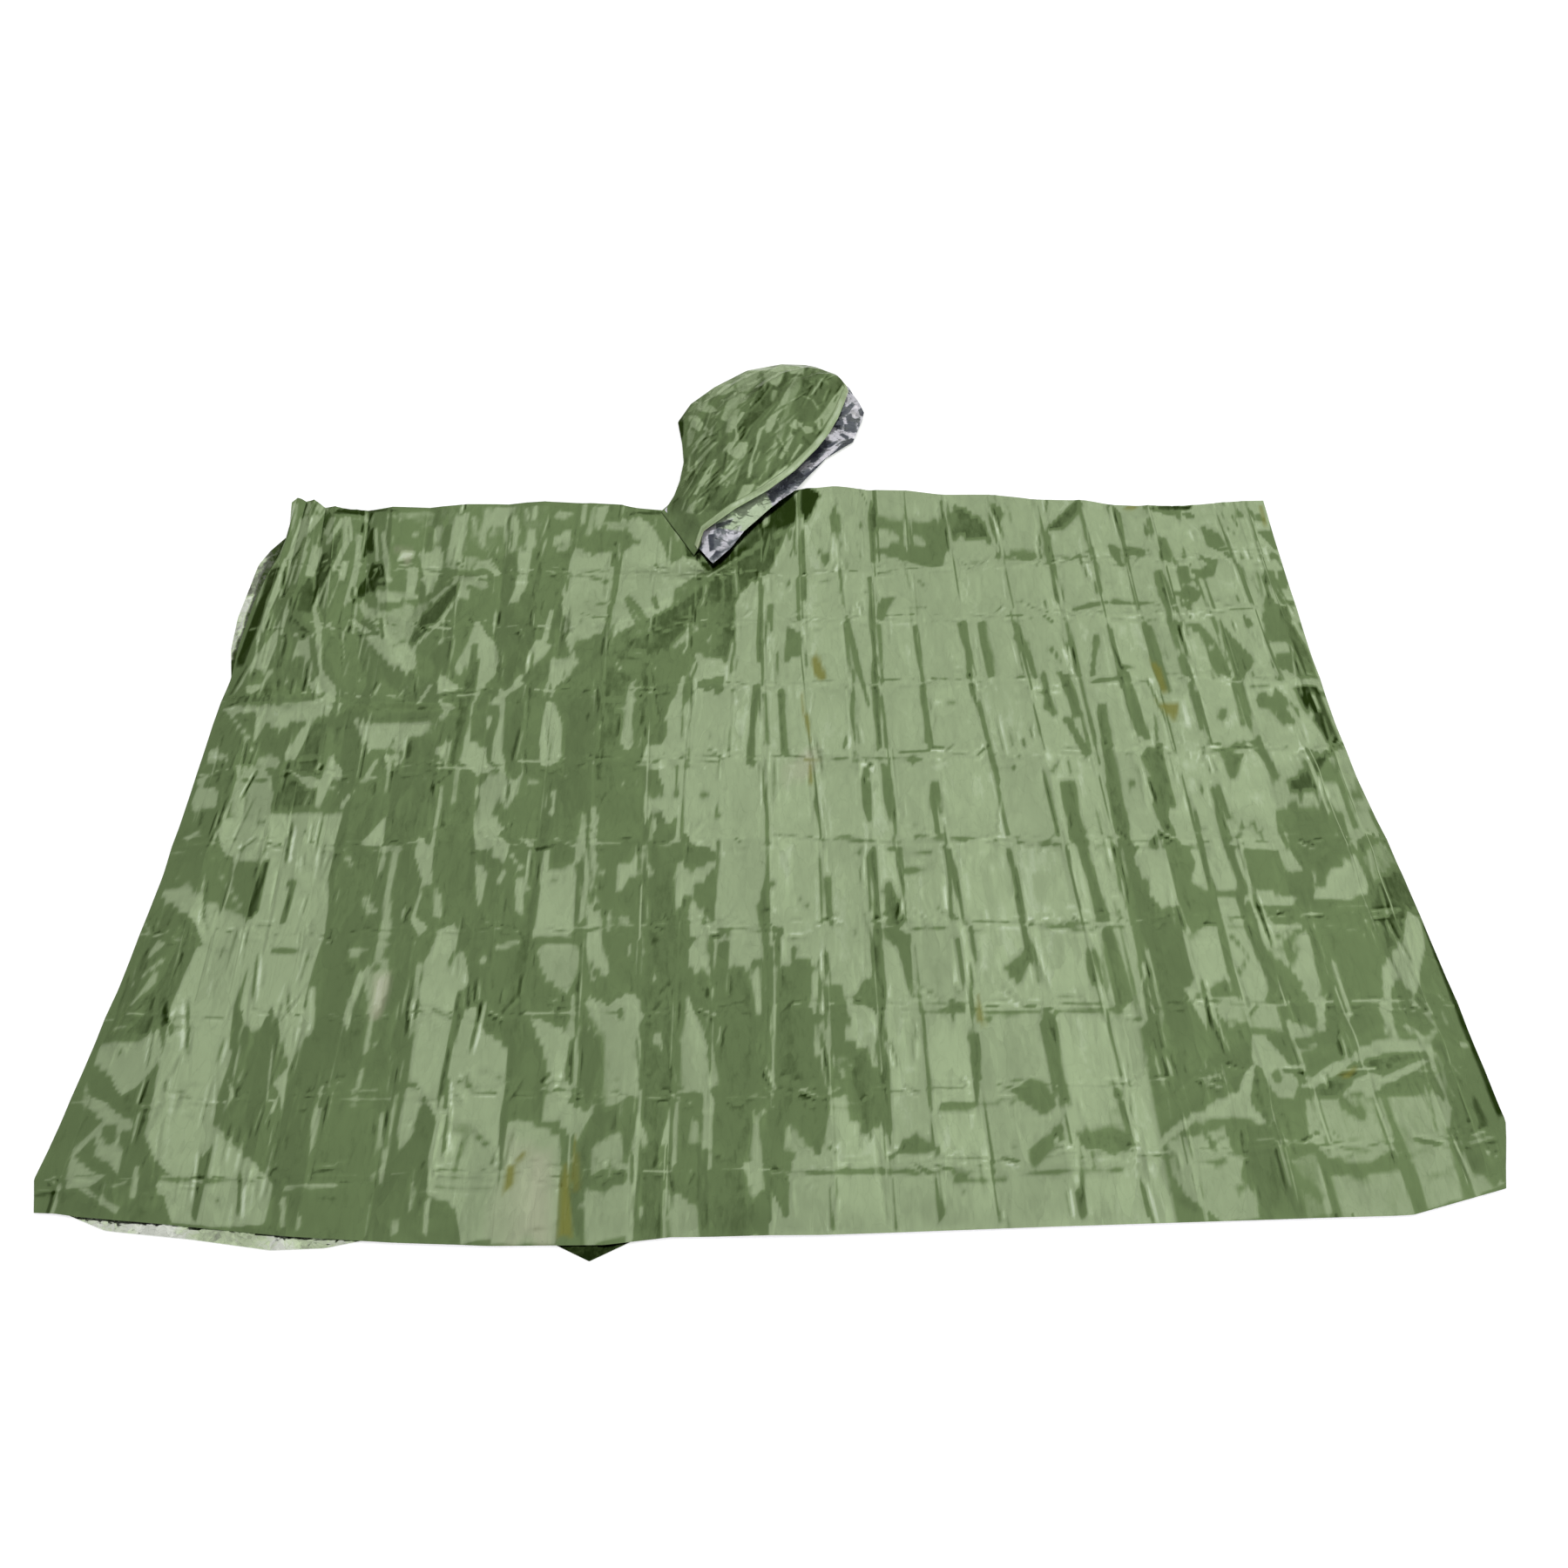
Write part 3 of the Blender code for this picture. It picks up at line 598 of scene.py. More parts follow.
def edgeAt(edge, column, place):
    # where an outline runs at a place along its table's first column
    return np.interp(place, next(iter(edge.values())), edge[column])


def packLineX(number, y):
    # line 0 is the left edge, then come the packing folds, then the right edge
    fold = np.clip(number - 1, 0, packCount - 1)
    shoulder, chest, waist, hem = (
        packFolds[column][fold] for column in ("shoulder", "chest", "waist", "hem")
    )
    x = mix(hem, waist, (y - hemY) / (waistY - hemY))
    x = np.where(y > waistY, mix(waist, chest, (y - waistY) / (chestY - waistY)), x)
    x = np.where(y > chestY, mix(chest, shoulder, (y - chestY) / (shoulderY - chestY)), x)
    x = np.where(number == 0, edgeAt(frontSides, "left", y), x)
    return np.where(number > packCount, edgeAt(frontSides, "right", y), x)


def neckDrop(x):
    left = (x - neck["leftX"]) / (neck["lowX"] - neck["leftX"])
    right = (neck["rightX"] - x) / (neck["rightX"] - neck["lowX"])
    return neck["depth"] * np.clip(np.minimum(left, right), 0.0, None)


def crossFoldY(fold, x):
    half = frontSides["right"][0]
    left, middle, right = (crossFolds[column][fold] for column in ("left", "middle", "right"))
    return np.where(x < 0.0, mix(middle, left, -x / half), mix(middle, right, x / half))


def crossLineY(number, x):
    # line 0 is the hem, then come the folds across, then the shoulder edge
    y = crossFoldY(np.clip(number - 1, 0, crossCount - 1), x)
    y = np.where(number == 0, edgeAt(frontReach, "hem", x), y)
    top = edgeAt(frontReach, "shoulder", x) - neckDrop(x)
    return np.where(number > crossCount, top, y)


def largeFoldHeight(x, y):
    height = np.zeros_like(x)
    for startX, startY, toX, toY, start, end, steep, easy in largeFolds:
        runX, runY = toX - startX, toY - startY
        length = math.hypot(runX, runY)
        along = ((x - startX) * runX + (y - startY) * runY) / length**2
        side = ((y - startY) * runX - (x - startX) * runY) / length
        beyond = np.clip(np.maximum(-along, along - 1.0), 0.0, None) * length
        width = np.where(side > 0.0, steep, easy)
        rise = mix(start, end, np.clip(along, 0.0, 1.0)) * mm
        height = np.maximum(height, rise * ease(1.0 - np.hypot(side, beyond) / width))
    inside = np.minimum(x - edgeAt(frontSides, "left", y), edgeAt(frontSides, "right", y) - x)
    return height * ease(inside / body["sideReach"])


def packRise(number, y):
    fold = np.clip(number - 1, 0, packCount - 1)
    high, midway, low = (packFolds[column][fold] for column in ("highUp", "midway", "lowDown"))
    above = mix(midway, high, ease((y - waistY) / (shoulderY - waistY)))
    below = mix(low, midway, ease((y - hemY) / (waistY - hemY)))
    edge = (number == 0) | (number > packCount)
    return np.where(edge, 0.5, np.where(y > waistY, above, below)) * mm


def flatNearNeck(x, y):
    # 0 under the hood's end, 1 away from it
    pastLeft = (neck["leftX"] - neck["flatLeft"] - x) / neck["fade"]
    pastRight = (x - neck["rightX"] - neck["flatRight"]) / neck["fade"]
    below = (neck["flatLowY"] - y) / neck["fadeDown"]
    return ease(np.maximum(np.maximum(pastLeft, pastRight), below))


# Facets of the front, in millimetres: from, to, width at each end, how the facet leans to the
# light, and if given how much its edges fray. A lean of 1 is lit, -1 dark, -2 in deep shade and
# 1.6 a glint. Later rows lie over earlier ones.
facets = {}
facets["shoulderPleats"] = [
    (-545, 515, -545, 180, 190, 190, -0.7, 0.2), (-632, 502, -625, 445, 8, 4, 0.3, 0.2),
    (-624, 508, -623, 445, 5, 4, -0.7, 0.2), (-606, 474, -611, 425, 28, 14, 1, 0.2),
    (-600, 500, -590, 480, 16, 12, 0.5, 0.3), (-612, 505, -612, 478, 8, 8, 0.4, 0.3),
    (-612, 440, -616, 360, 14, 6, 0.9, 0.2), (-616, 362, -619, 225, 5, 4, 0.8, 0.2),
    (-597, 445, -607, 320, 12, 10, -0.8, 0.2), (-598, 425, -600, 335, 9, 6, 0.35, 0.3),
    (-589, 460, -595, 400, 8, 6, -0.9, 0.2), (-577, 472, -580, 430, 8, 8, 0.8, 0.3),
    (-584, 412, -583, 348, 14, 12, 0.9, 0.3), (-563, 472, -574, 412, 8, 5, 0.9, 0.2),
    (-562, 442, -566, 398, 8, 12, -1.3, 0.2), (-566, 400, -572, 343, 20, 26, -1.5, 0.2),
    (-574, 345, -578, 280, 30, 28, -1.5, 0.2), (-560, 468, -549, 418, 12, 12, 0.7, 0.2),
    (-549, 422, -556, 362, 8, 6, 0.7, 0.2), (-557, 366, -565, 288, 5, 5, 0.95, 0.2),
    (-565, 290, -552, 253, 5, 8, 0.9, 0.2), (-552, 256, -545, 213, 8, 6, 0.9, 0.2),
    (-545, 216, -534, 178, 6, 4, 0.8, 0.2), (-543, 382, -541, 343, 10, 10, 0.9, 0.4),
    (-536, 442, -528, 378, 8, 8, 0.9, 0.2), (-528, 382, -526, 298, 8, 10, 0.7, 0.2),
    (-538, 402, -536, 340, 3, 3, -1, 0.2), (-530, 482, -534, 440, 8, 6, -1.9, 0.2),
    (-524, 450, -515, 385, 9, 16, -2, 0.2), (-512, 396, -508, 378, 14, 10, -0.8, 0.4),
    (-500, 376, -499, 333, 22, 26, -1.9, 0.2), (-504, 336, -520, 302, 26, 5, -1.9, 0.2),
    (-519, 450, -504, 380, 5, 4, 0.8, 0.2), (-508, 442, -496, 395, 5, 6, 0.7, 0.2),
    (-497, 397, -484, 338, 7, 5, 0.8, 0.2), (-576, 486, -540, 482, 10, 14, -2, 0.2),
    (-545, 485, -498, 487, 8, 3, -1.9, 0.3), (-550, 470, -532, 465, 6, 10, -0.1),
    (-500, 478, -450, 478, 14, 8, 0.1), (-495, 462, -470, 476, 5, 4, 0.5),
    (-470, 430, -458, 446, 6, 5, 0.5), (-480, 386, -466, 397, 12, 18, 1.9, 0.4),
    (-597, 292, -598, 240, 6, 10, 0.8, 0.2), (-600, 244, -609, 178, 8, 24, 1, 0.2),
    (-592, 272, -560, 235, 10, 14, -1.3, 0.2), (-583, 245, -574, 235, 8, 6, 0.5),
    (-566, 232, -560, 188, 14, 24, 0.75, 0.3), (-586, 232, -584, 180, 5, 6, -1.1, 0.2),
    (-541, 264, -541, 252, 6, 6, 0.9), (-612, 300, -612, 240, 8, 8, -0.9, 0.2),
    (-515, 260, -515, 180, 34, 56, -0.85, 0.2),
]
facets["leftChest"] = [
    (-440, 400, -430, 348, 26, 16, 0.95, 0.5), (-436, 352, -428, 318, 12, 6, 0.7),
    (-458, 367, -452, 308, 12, 10, 0.9, 0.5), (-454, 400, -440, 388, 10, 12, 0.7),
    (-413, 472, -411, 383, 14, 14, 0.8), (-440, 450, -437, 415, 8, 6, 0.7),
    (-427, 445, -425, 405, 5, 5, -0.9), (-494, 318, -466, 304, 12, 24, 0.9, 0.4),
    (-511, 302, -494, 272, 8, 12, 0.7, 0.3), (-486, 290, -425, 304, 7, 10, -1.1, 0.2),
    (-472, 288, -452, 228, 52, 42, 0.4, 0.3), (-520, 270, -478, 233, 5, 14, 0.9, 0.2),
    (-480, 238, -440, 198, 22, 38, 1, 0.3), (-446, 212, -430, 176, 32, 12, 1, 0.3),
    (-518, 278, -466, 231, 4, 3, -1.2, 0.2), (-399, 334, -416, 285, 8, 28, -1.4, 0.2),
    (-416, 288, -436, 226, 28, 8, -1.4, 0.2), (-398, 348, -424, 300, 5, 7, 0.9, 0.2),
    (-424, 301, -470, 288, 7, 4, 0.5, 0.2), (-391, 318, -411, 256, 5, 5, 0.95, 0.2),
    (-411, 258, -432, 220, 4, 5, 0.9, 0.2), (-403, 352, -380, 335, 8, 18, 0.9, 0.4),
    (-406, 228, -388, 240, 10, 5, 0.8), (-382, 258, -378, 200, 30, 26, -1),
    (-395, 470, -385, 430, 6, 5, 0.5), (-378, 440, -374, 410, 8, 6, 0.6),
    (-345, 480, -338, 420, 8, 8, 0.6), (-330, 490, -325, 465, 5, 5, 0.8),
    (-318, 500, -316, 465, 5, 5, 1.1), (-318, 445, -316, 410, 7, 7, 0.9),
    (-284, 421, -268, 437, 16, 18, 0.9), (-290, 482, -270, 474, 14, 12, 0.6),
    (-415, 376, -362, 376, 18, 18, 0.3), (-368, 378, -350, 360, 4, 5, 1),
    (-536, 166, -508, 139, 20, 5, 0.95), (-566, 190, -555, 150, 24, 20, -1.1),
    (-593, 180, -596, 130, 6, 5, 0.7), (-626, 130, -585, 128, 12, 14, -1.2),
    (-628, 113, -600, 116, 5, 5, 1), (-365, 266, -356, 205, 6, 44, 0.8),
    (-356, 205, -350, 160, 44, 18, 0.6), (-362, 225, -358, 90, 8, 8, -1.3),
    (-323, 400, -320, 300, 16, 5, 0.95), (-288, 390, -298, 210, 44, 32, -1),
    (-275, 292, -278, 226, 6, 10, 1), (-280, 226, -292, 188, 22, 14, 1),
    (-254, 235, -236, 180, 8, 10, 0.8), (-300, 156, -325, 124, 7, 8, 0.8),
]
facets["leftLines"] = [
    (-626, 110, -590, 62, 4, 4, 0.7, 0.3), (-403, 150, -412, 120, 5, 5, 0.8, 0.3),
    (-240, 170, -262, 138, 4, 4, -1, 0.3), (-455, 0, -433, 6, 4, 4, 0.8),
    (-485, -8, -470, -25, 3, 3, 0.6), (-460, -15, -470, -40, 5, 4, 1.2),
    (-594, 8, -592, -95, 6, 5, -1.35, 0.2), (-542, 30, -538, -47, 7, 8, -1.35, 0.2),
    (-256, -5, -256, -50, 8, 5, -1.3), (-365, -10, -362, -95, 5, 6, 0.6),
    (-353, 20, -350, -40, 5, 6, 0.7), (-361, 95, -361, 10, 7, 6, -1.3, 0.2),
    (-355, 200, -355, 120, 8, 8, -1.2, 0.2), (-455, 97, -400, 99, 4, 8, -1.2),
    (-320, 128, -325, 118, 8, 8, 1.1), (-328, 98, -326, 85, 6, 7, 1.1),
    (-305, 156, -300, 168, 6, 5, 1), (-532, -115, -530, -190, 7, 12, -1.6, 0.2),
    (-497, -145, -497, -196, 6, 6, -1.1, 0.3), (-500, -148, -468, -156, 5, 3, -1.2),
    (-495, -232, -458, -238, 4, 5, -1.1), (-590, -52, -540, -62, 4, 4, -0.3),
    (-625, -90, -610, -75, 8, 10, 0.8), (-620, -140, -585, -160, 5, 6, 0.2),
    (-575, -135, -545, -175, 6, 4, 0.5), (-600, -165, -540, -193, 10, 8, 0.8),
    (-622, -240, -612, -222, 10, 10, 0.8), (-628, -275, -605, -245, 5, 4, 0.8),
    (-620, -300, -605, -262, 6, 8, 0.7), (-628, -325, -615, -320, 5, 5, 0.6),
    (-507, -450, -503, -525, 5, 6, -0.9), (-540, -483, -455, -486, 4, 4, -0.6),
    (-615, -488, -575, -512, 4, 4, 0.7), (-565, -475, -562, -500, 5, 4, 0.5),
    (-450, -275, -446, -332, 8, 10, 1.35), (-408, -256, -411, -325, 4, 4, 1.2),
    (-388, -262, -387, -300, 7, 6, 1.8), (-400, -250, -392, -300, 5, 5, 0.4),
    (-387, -305, -386, -350, 4, 4, 0.8), (-386, -370, -388, -420, 4, 4, 0.6),
    (-417, -402, -415, -460, 4, 3, 0.7), (-388, -430, -386, -465, 4, 3, 0.5),
    (-412, -100, -411, -130, 5, 5, 0.8), (-448, -112, -440, -125, 8, 8, 0.5),
    (-420, -170, -410, -185, 12, 12, 0.4), (-425, -235, -408, -235, 8, 8, 0.6),
    (-348, -150, -343, -195, 6, 8, 0.7), (-352, -245, -352, -300, 4, 4, 0.8),
    (-350, -400, -348, -490, 4, 4, 0.5), (-308, -280, -309, -400, 4, 5, -1.3, 0.3),
    (-265, -445, -258, -452, 6, 6, -0.7), (-300, -430, -275, -432, 4, 4, -0.6),
    (-305, -482, -250, -484, 3, 3, -0.6), (-305, -491, -250, -492, 3, 3, -0.5),
    (-305, -380, -260, -395, 3, 3, -0.4), (-280, -105, -265, -130, 4, 4, 0.8),
    (-268, -135, -262, -185, 7, 8, 1), (-270, -85, -262, -92, 5, 5, 1.3),
    (-298, -248, -284, -242, 5, 5, 1.3), (-297, -236, -252, -222, 3, 3, 0.6),
    (-246, -150, -247, -210, 4, 4, -0.9), (-246, -150, -225, -140, 4, 4, -0.7),
    (-245, -219, -195, -218, 4, 4, -0.8), (-240, -226, -195, -226, 4, 4, 0.9),
    (-198, -280, -197, -340, 4, 6, 0.7), (-432, -492, -386, -489, 4, 4, 0.9),
    (-330, -520, -328, -540, 8, 8, 0.6), (-322, -470, -318, -515, 4, 6, 0.6),
    (-305, -500, -303, -535, 5, 6, 0.7), (-430, -500, -425, -530, 5, 5, 0.5),
    (-412, -515, -410, -535, 6, 8, 0.6), (-235, -85, -215, -95, 4, 4, 0.6),
    (-208, -50, -210, -120, 5, 6, 0.6), (-197, -50, -198, -200, 6, 8, 0.7),
]
facets["middleSkirt"] = [
    (-186, -48, -184, -138, 30, 34, -0.8), (-198, -45, -192, -160, 6, 6, 0.7),
    (-155, -108, -155, -152, 28, 24, 0.7), (-152, -165, -150, -252, 40, 36, -0.6),
    (-192, -168, -178, -252, 8, 18, 0.8), (-186, -288, -164, -320, 6, 22, 0.8),
    (-140, -290, -140, -330, 22, 14, 0.9), (-148, -318, -145, -402, 44, 34, 0.6),
    (-128, -400, -128, -545, 6, 6, 0.8), (-114, -150, -114, -545, 32, 32, -1.1),
    (-155, -440, -150, -478, 28, 32, 0.5), (-150, -488, -146, -545, 40, 40, 0.5),
    (-96, -122, -92, -170, 14, 12, 0.7), (-88, -165, -75, -216, 8, 28, 0.9),
    (-84, -216, -76, -262, 22, 14, 0.8), (-90, -284, -80, -345, 4, 26, 0.8),
    (-80, -345, -80, -394, 26, 22, 0.6), (-68, -365, -66, -456, 5, 5, 0.8),
    (-93, -400, -93, -470, 4, 4, 0.6), (-76, -418, -78, -456, 8, 8, 0.4),
    (-85, -500, -80, -542, 26, 26, 0.6), (-55, -95, -55, -202, 24, 20, 0.9),
    (-30, -10, -30, -120, 14, 16, 0.7), (-36, -150, -32, -252, 24, 34, 0.9),
    (-25, -250, -20, -312, 12, 5, 0.8), (-5, -250, -5, -292, 6, 5, 0.8),
    (-5, -298, -8, -400, 5, 5, 0.8), (-22, -420, -18, -500, 5, 14, 0.5),
    (35, -258, 32, -302, 8, 6, 0.8), (38, -325, 36, -352, 6, 5, 0.6),
    (-46, -262, -46, -540, 38, 42, -1.05), (30, -108, 38, -192, 18, 20, 0.9),
    (50, -128, 50, -200, 5, 5, -0.9), (75, -112, 75, -250, 42, 40, 1),
    (68, -250, 74, -312, 26, 16, 0.9), (85, -328, 90, -372, 12, 8, 0.5),
    (112, -146, 118, -206, 3, 24, -1.2), (118, -206, 125, -292, 26, 8, -1),
    (98, -100, 97, -440, 6, 9, -1.2), (108, -224, 118, -290, 14, 14, 0.9),
    (88, -260, 80, -302, 8, 26, -0.9), (28, -282, 28, -405, 66, 70, -1),
    (76, -350, 82, -432, 24, 22, -1.1), (55, -395, 52, -452, 12, 28, 0.7),
    (15, -430, 12, -462, 20, 20, 0.4), (60, -500, 260, -495, 60, 50, 0.85),
    (122, -325, 122, -425, 22, 26, 1), (137, -300, 138, -420, 5, 5, -1),
    (115, -448, 150, -456, 22, 6, -1), (160, -315, 160, -405, 40, 38, 1),
    (140, -411, 182, -409, 9, 8, -1), (182, -325, 180, -410, 5, 5, -1),
    (40, -475, 200, -477, 5, 5, -0.9), (150, -484, 195, -484, 4, 4, -0.9),
    (125, -131, 165, -121, 8, 3, -1.2), (115, -100, 160, -104, 6, 4, -0.8),
    (166, 0, 166, -80, 6, 6, -1), (175, -98, 186, -200, 4, 5, -1),
    (190, -200, 192, -240, 5, 5, -0.9),
]
facets["rightSkirt"] = [
    (310, 0, 312, -90, 14, 16, -1), (316, -92, 325, -200, 8, 14, -1),
    (326, -200, 332, -305, 12, 16, -1), (360, 0, 361, -90, 14, 13, -1),
    (408, 0, 409, -60, 24, 8, -1), (406, -55, 409, -175, 6, 9, -1, 0.3),
    (440, -20, 441, -290, 6, 4, -0.9), (468, -15, 472, -155, 6, 7, -0.9),
    (472, -175, 476, -285, 8, 4, -0.8), (347, -180, 347, -318, 10, 8, 0.6, 0.4),
    (362, -228, 363, -322, 4, 5, 0.5), (403, -205, 405, -262, 5, 4, 0.6),
    (366, -118, 368, -150, 10, 6, -0.9), (376, -135, 374, -158, 5, 5, -1),
    (348, -100, 349, -175, 4, 3, -0.8), (542, -248, 543, -312, 4, 4, 1),
    (646, -200, 652, -422, 7, 9, -1.9, 0.3), (601, -100, 604, -160, 4, 3, -0.6),
    (488, -68, 482, -82, 4, 4, -0.5), (500, -58, 506, -80, 4, 4, -0.4),
    (545, -155, 552, -122, 5, 4, 0.4), (560, -178, 596, -176, 6, 6, -0.2, 0.3),
    (545, -200, 580, -208, 5, 4, -0.1, 0.3), (580, -205, 582, -220, 4, 3, 0.2),
    (500, -105, 500, -150, 32, 30, -0.95, 0.4), (512, -118, 510, -150, 3, 3, -0.4),
    (530, -135, 528, -165, 14, 10, -0.9), (495, -215, 515, -228, 5, 3, -0.6),
    (500, -222, 518, -205, 3, 3, -0.7), (480, -232, 520, -236, 5, 4, -0.6),
    (485, -245, 498, -270, 6, 4, -0.7), (488, -300, 500, -296, 12, 8, -0.9),
    (504, -330, 512, -305, 4, 3, -0.6), (430, -285, 437, -276, 8, 6, -0.9),
    (446, -210, 458, -232, 5, 3, -0.6), (446, -262, 460, -240, 4, 3, -0.7),
    (370, -345, 405, -352, 4, 3, -0.2), (385, -362, 395, -380, 5, 4, 0),
    (408, -362, 412, -392, 4, 3, -0.1), (352, -350, 353, -425, 3, 3, -0.3),
    (370, -345, 371, -415, 3, 3, -0.2), (455, -372, 458, -385, 6, 5, -0.7),
    (492, -348, 505, -342, 5, 4, 0.3), (590, -320, 602, -335, 5, 4, 0.4),
    (606, -292, 622, -320, 4, 4, 0.3), (600, -345, 626, -320, 5, 6, 0.2),
    (606, -365, 606, -410, 4, 4, 0.3), (612, -358, 614, -400, 4, 4, -0.1),
    (432, -398, 442, -425, 8, 5, -1, 0.3), (455, -405, 470, -420, 8, 6, -0.7),
    (510, -405, 530, -425, 12, 8, -0.7), (418, -424, 440, -434, 5, 4, -0.8),
    (385, -432, 372, -425, 8, 4, -0.5), (382, -440, 388, -456, 6, 5, -0.6),
    (405, -440, 420, -425, 10, 6, -0.9), (410, -452, 480, -448, 4, 4, -0.6),
    (415, -443, 462, -444, 4, 4, 0.4), (552, -395, 551, -500, 5, 5, -0.5),
    (600, -440, 598, -505, 8, 12, -0.5), (606, -430, 607, -500, 3, 3, 0.3),
    (620, -440, 630, -475, 16, 20, -0.7), (590, -475, 565, -485, 4, 4, -0.4),
    (530, -455, 545, -480, 4, 4, -0.5), (437, -460, 440, -520, 30, 26, -1, 0.3),
    (490, -470, 505, -475, 14, 12, -0.6), (450, -480, 475, -505, 10, 14, -0.5),
    (365, -462, 366, -520, 4, 4, 0.7), (378, -470, 400, -462, 5, 4, -0.6),
    (392, -500, 410, -485, 8, 6, -0.5), (294, -472, 294, -526, 54, 56, 1),
    (268, -446, 320, -446, 20, 18, -1), (256, -430, 224, -462, 10, 14, -0.9),
    (214, -428, 256, -420, 8, 12, 0.9), (225, -385, 246, -412, 34, 24, -0.8),
    (255, -310, 257, -402, 14, 14, -1), (246, -232, 226, -262, 8, 22, -1.1),
    (239, -98, 246, -250, 6, 6, -1.2), (288, -122, 288, -196, 56, 58, 1),
    (255, -199, 320, -197, 4, 4, -0.8),
]
facets["belowNeck"] = [
    (-232, 400, -230, 245, 52, 48, 0.75, 0.5), (-165, 425, -165, 262, 74, 66, 1, 0.1),
    (-175, 462, -175, 420, 34, 60, 0.75, 0.3), (-140, 385, -110, 345, 60, 50, 1, 0.1),
    (-156, 475, -126, 385, 30, 24, -0.55, 0.3), (-135, 462, -128, 430, 10, 6, 0.4),
    (-238, 405, -198, 430, 24, 36, -0.9, 0.3), (-240, 495, -245, 430, 10, 10, 0.3),
    (-225, 490, -232, 440, 6, 5, 0.6), (-197, 445, -203, 300, 4, 5, -0.9, 0.3),
    (-205, 300, -205, 240, 6, 4, -0.8), (-190, 315, -165, 262, 8, 14, -0.5),
    (-245, 362, -210, 362, 4, 4, -0.6), (-232, 348, -208, 338, 5, 5, -0.7),
    (-235, 300, -208, 298, 4, 4, -0.5), (-240, 280, -220, 275, 4, 4, -0.6),
    (-208, 402, -208, 370, 8, 6, -0.9), (-195, 479, -145, 481, 6, 9, -1.7, 0.3),
    (-206, 202, -120, 262, 50, 60, -1.2, 0.1), (-145, 242, -62, 328, 50, 50, -1.35, 0.1),
    (-68, 333, 8, 417, 50, 30, -1.4, 0.1), (-75, 300, -80, 200, 40, 60, -1.05, 0.3),
    (-61, 377, -97, 343, 3, 4, 0.9, 0.1), (-60, 380, 2, 441, 3, 3, 0.1, 0.2),
    (-90, 335, -95, 290, 4, 5, 0.4), (-100, 255, -125, 218, 10, 6, 0.6),
    (-55, 360, -52, 320, 4, 3, 0.3), (12, 425, -4, 358, 12, 18, 0.9, 0.4),
    (-32, 345, -40, 300, 6, 8, 0.5), (-45, 290, -52, 260, 8, 8, 0.7),
    (-45, 250, -45, 200, 16, 18, 0.8), (-10, 360, -8, 240, 4, 5, 0.6),
    (-22, 340, -25, 200, 5, 6, -1.1), (-10, 300, -12, 240, 6, 6, -0.9),
    (5, 300, 0, 210, 14, 10, 0.8), (5, 330, 20, 345, 8, 12, -0.8), (28, 440, 30, 300, 7, 7, -1.1),
    (52, 335, 52, 205, 44, 40, 1, 0.3), (55, 400, 60, 370, 14, 10, -0.8),
    (50, 455, 55, 400, 8, 8, 0.4), (70, 480, 72, 440, 14, 12, -0.6),
    (93, 475, 92, 400, 24, 22, 0.95, 0.4), (76, 370, 78, 290, 6, 4, -0.9),
    (-186, 180, -188, 50, 42, 22, -1.2), (-197, 200, -196, 0, 5, 6, -1.3),
    (-168, 165, -173, 55, 3, 14, 0.7), (-156, 190, -158, 65, 12, 6, -1.3),
    (-128, 205, -116, 138, 40, 14, -0.9), (-112, 168, -118, 108, 4, 6, 0.9),
    (-88, 130, -84, -35, 66, 70, 0.9), (-27, 150, -32, 28, 9, 8, -0.9),
    (-3, 210, -2, 150, 5, 5, -0.8), (2, 142, 6, 38, 9, 9, -1.1), (20, 250, 14, 200, 26, 18, -0.9),
    (120, 502, 118, 380, 5, 5, -1.2), (112, 352, 110, 45, 5, 7, -1.2),
    (80, 278, 100, 118, 5, 6, -0.9), (130, 312, 120, 262, 20, 8, -0.8),
    (95, 30, 95, -60, 8, 7, -1), (116, 28, 119, -60, 10, 8, -0.9), (163, 262, 166, 48, 5, 11, -1),
    (40, 34, 160, 32, 4, 4, -0.8), (125, 462, 205, 440, 26, 40, -0.8),
    (130, 408, 205, 385, 26, 48, -0.8),
]
facets["leftOpening"] = [
    (-639, 385, -636, 300, 9, 9, -0.9, 0.2), (-637, 340, -636, 300, 2, 3, 0.9, 0.2),
    (-629, 365, -629, 298, 10, 9, -1.9, 0.2), (-629, 302, -631, 185, 12, 10, -2, 0.2),
    (-621, 385, -621, 230, 3, 4, 0.8, 0.2),
]
facets["chinShadow"] = [
    (-118, 432, -108, 385, 6, 18, -1.9, 0.3), (-100, 378, -80, 363, 8, 16, -2, 0.2),
    (-82, 362, -54, 404, 16, 22, -2, 0.2), (-56, 398, -32, 414, 16, 6, -2, 0.2),
    (-36, 402, 2, 446, 34, 34, -1.45, 0.2), (-14, 448, 22, 520, 40, 60, -1.95, 0.2),
    (36, 468, 40, 512, 10, 12, -2.2, 0.2),
]
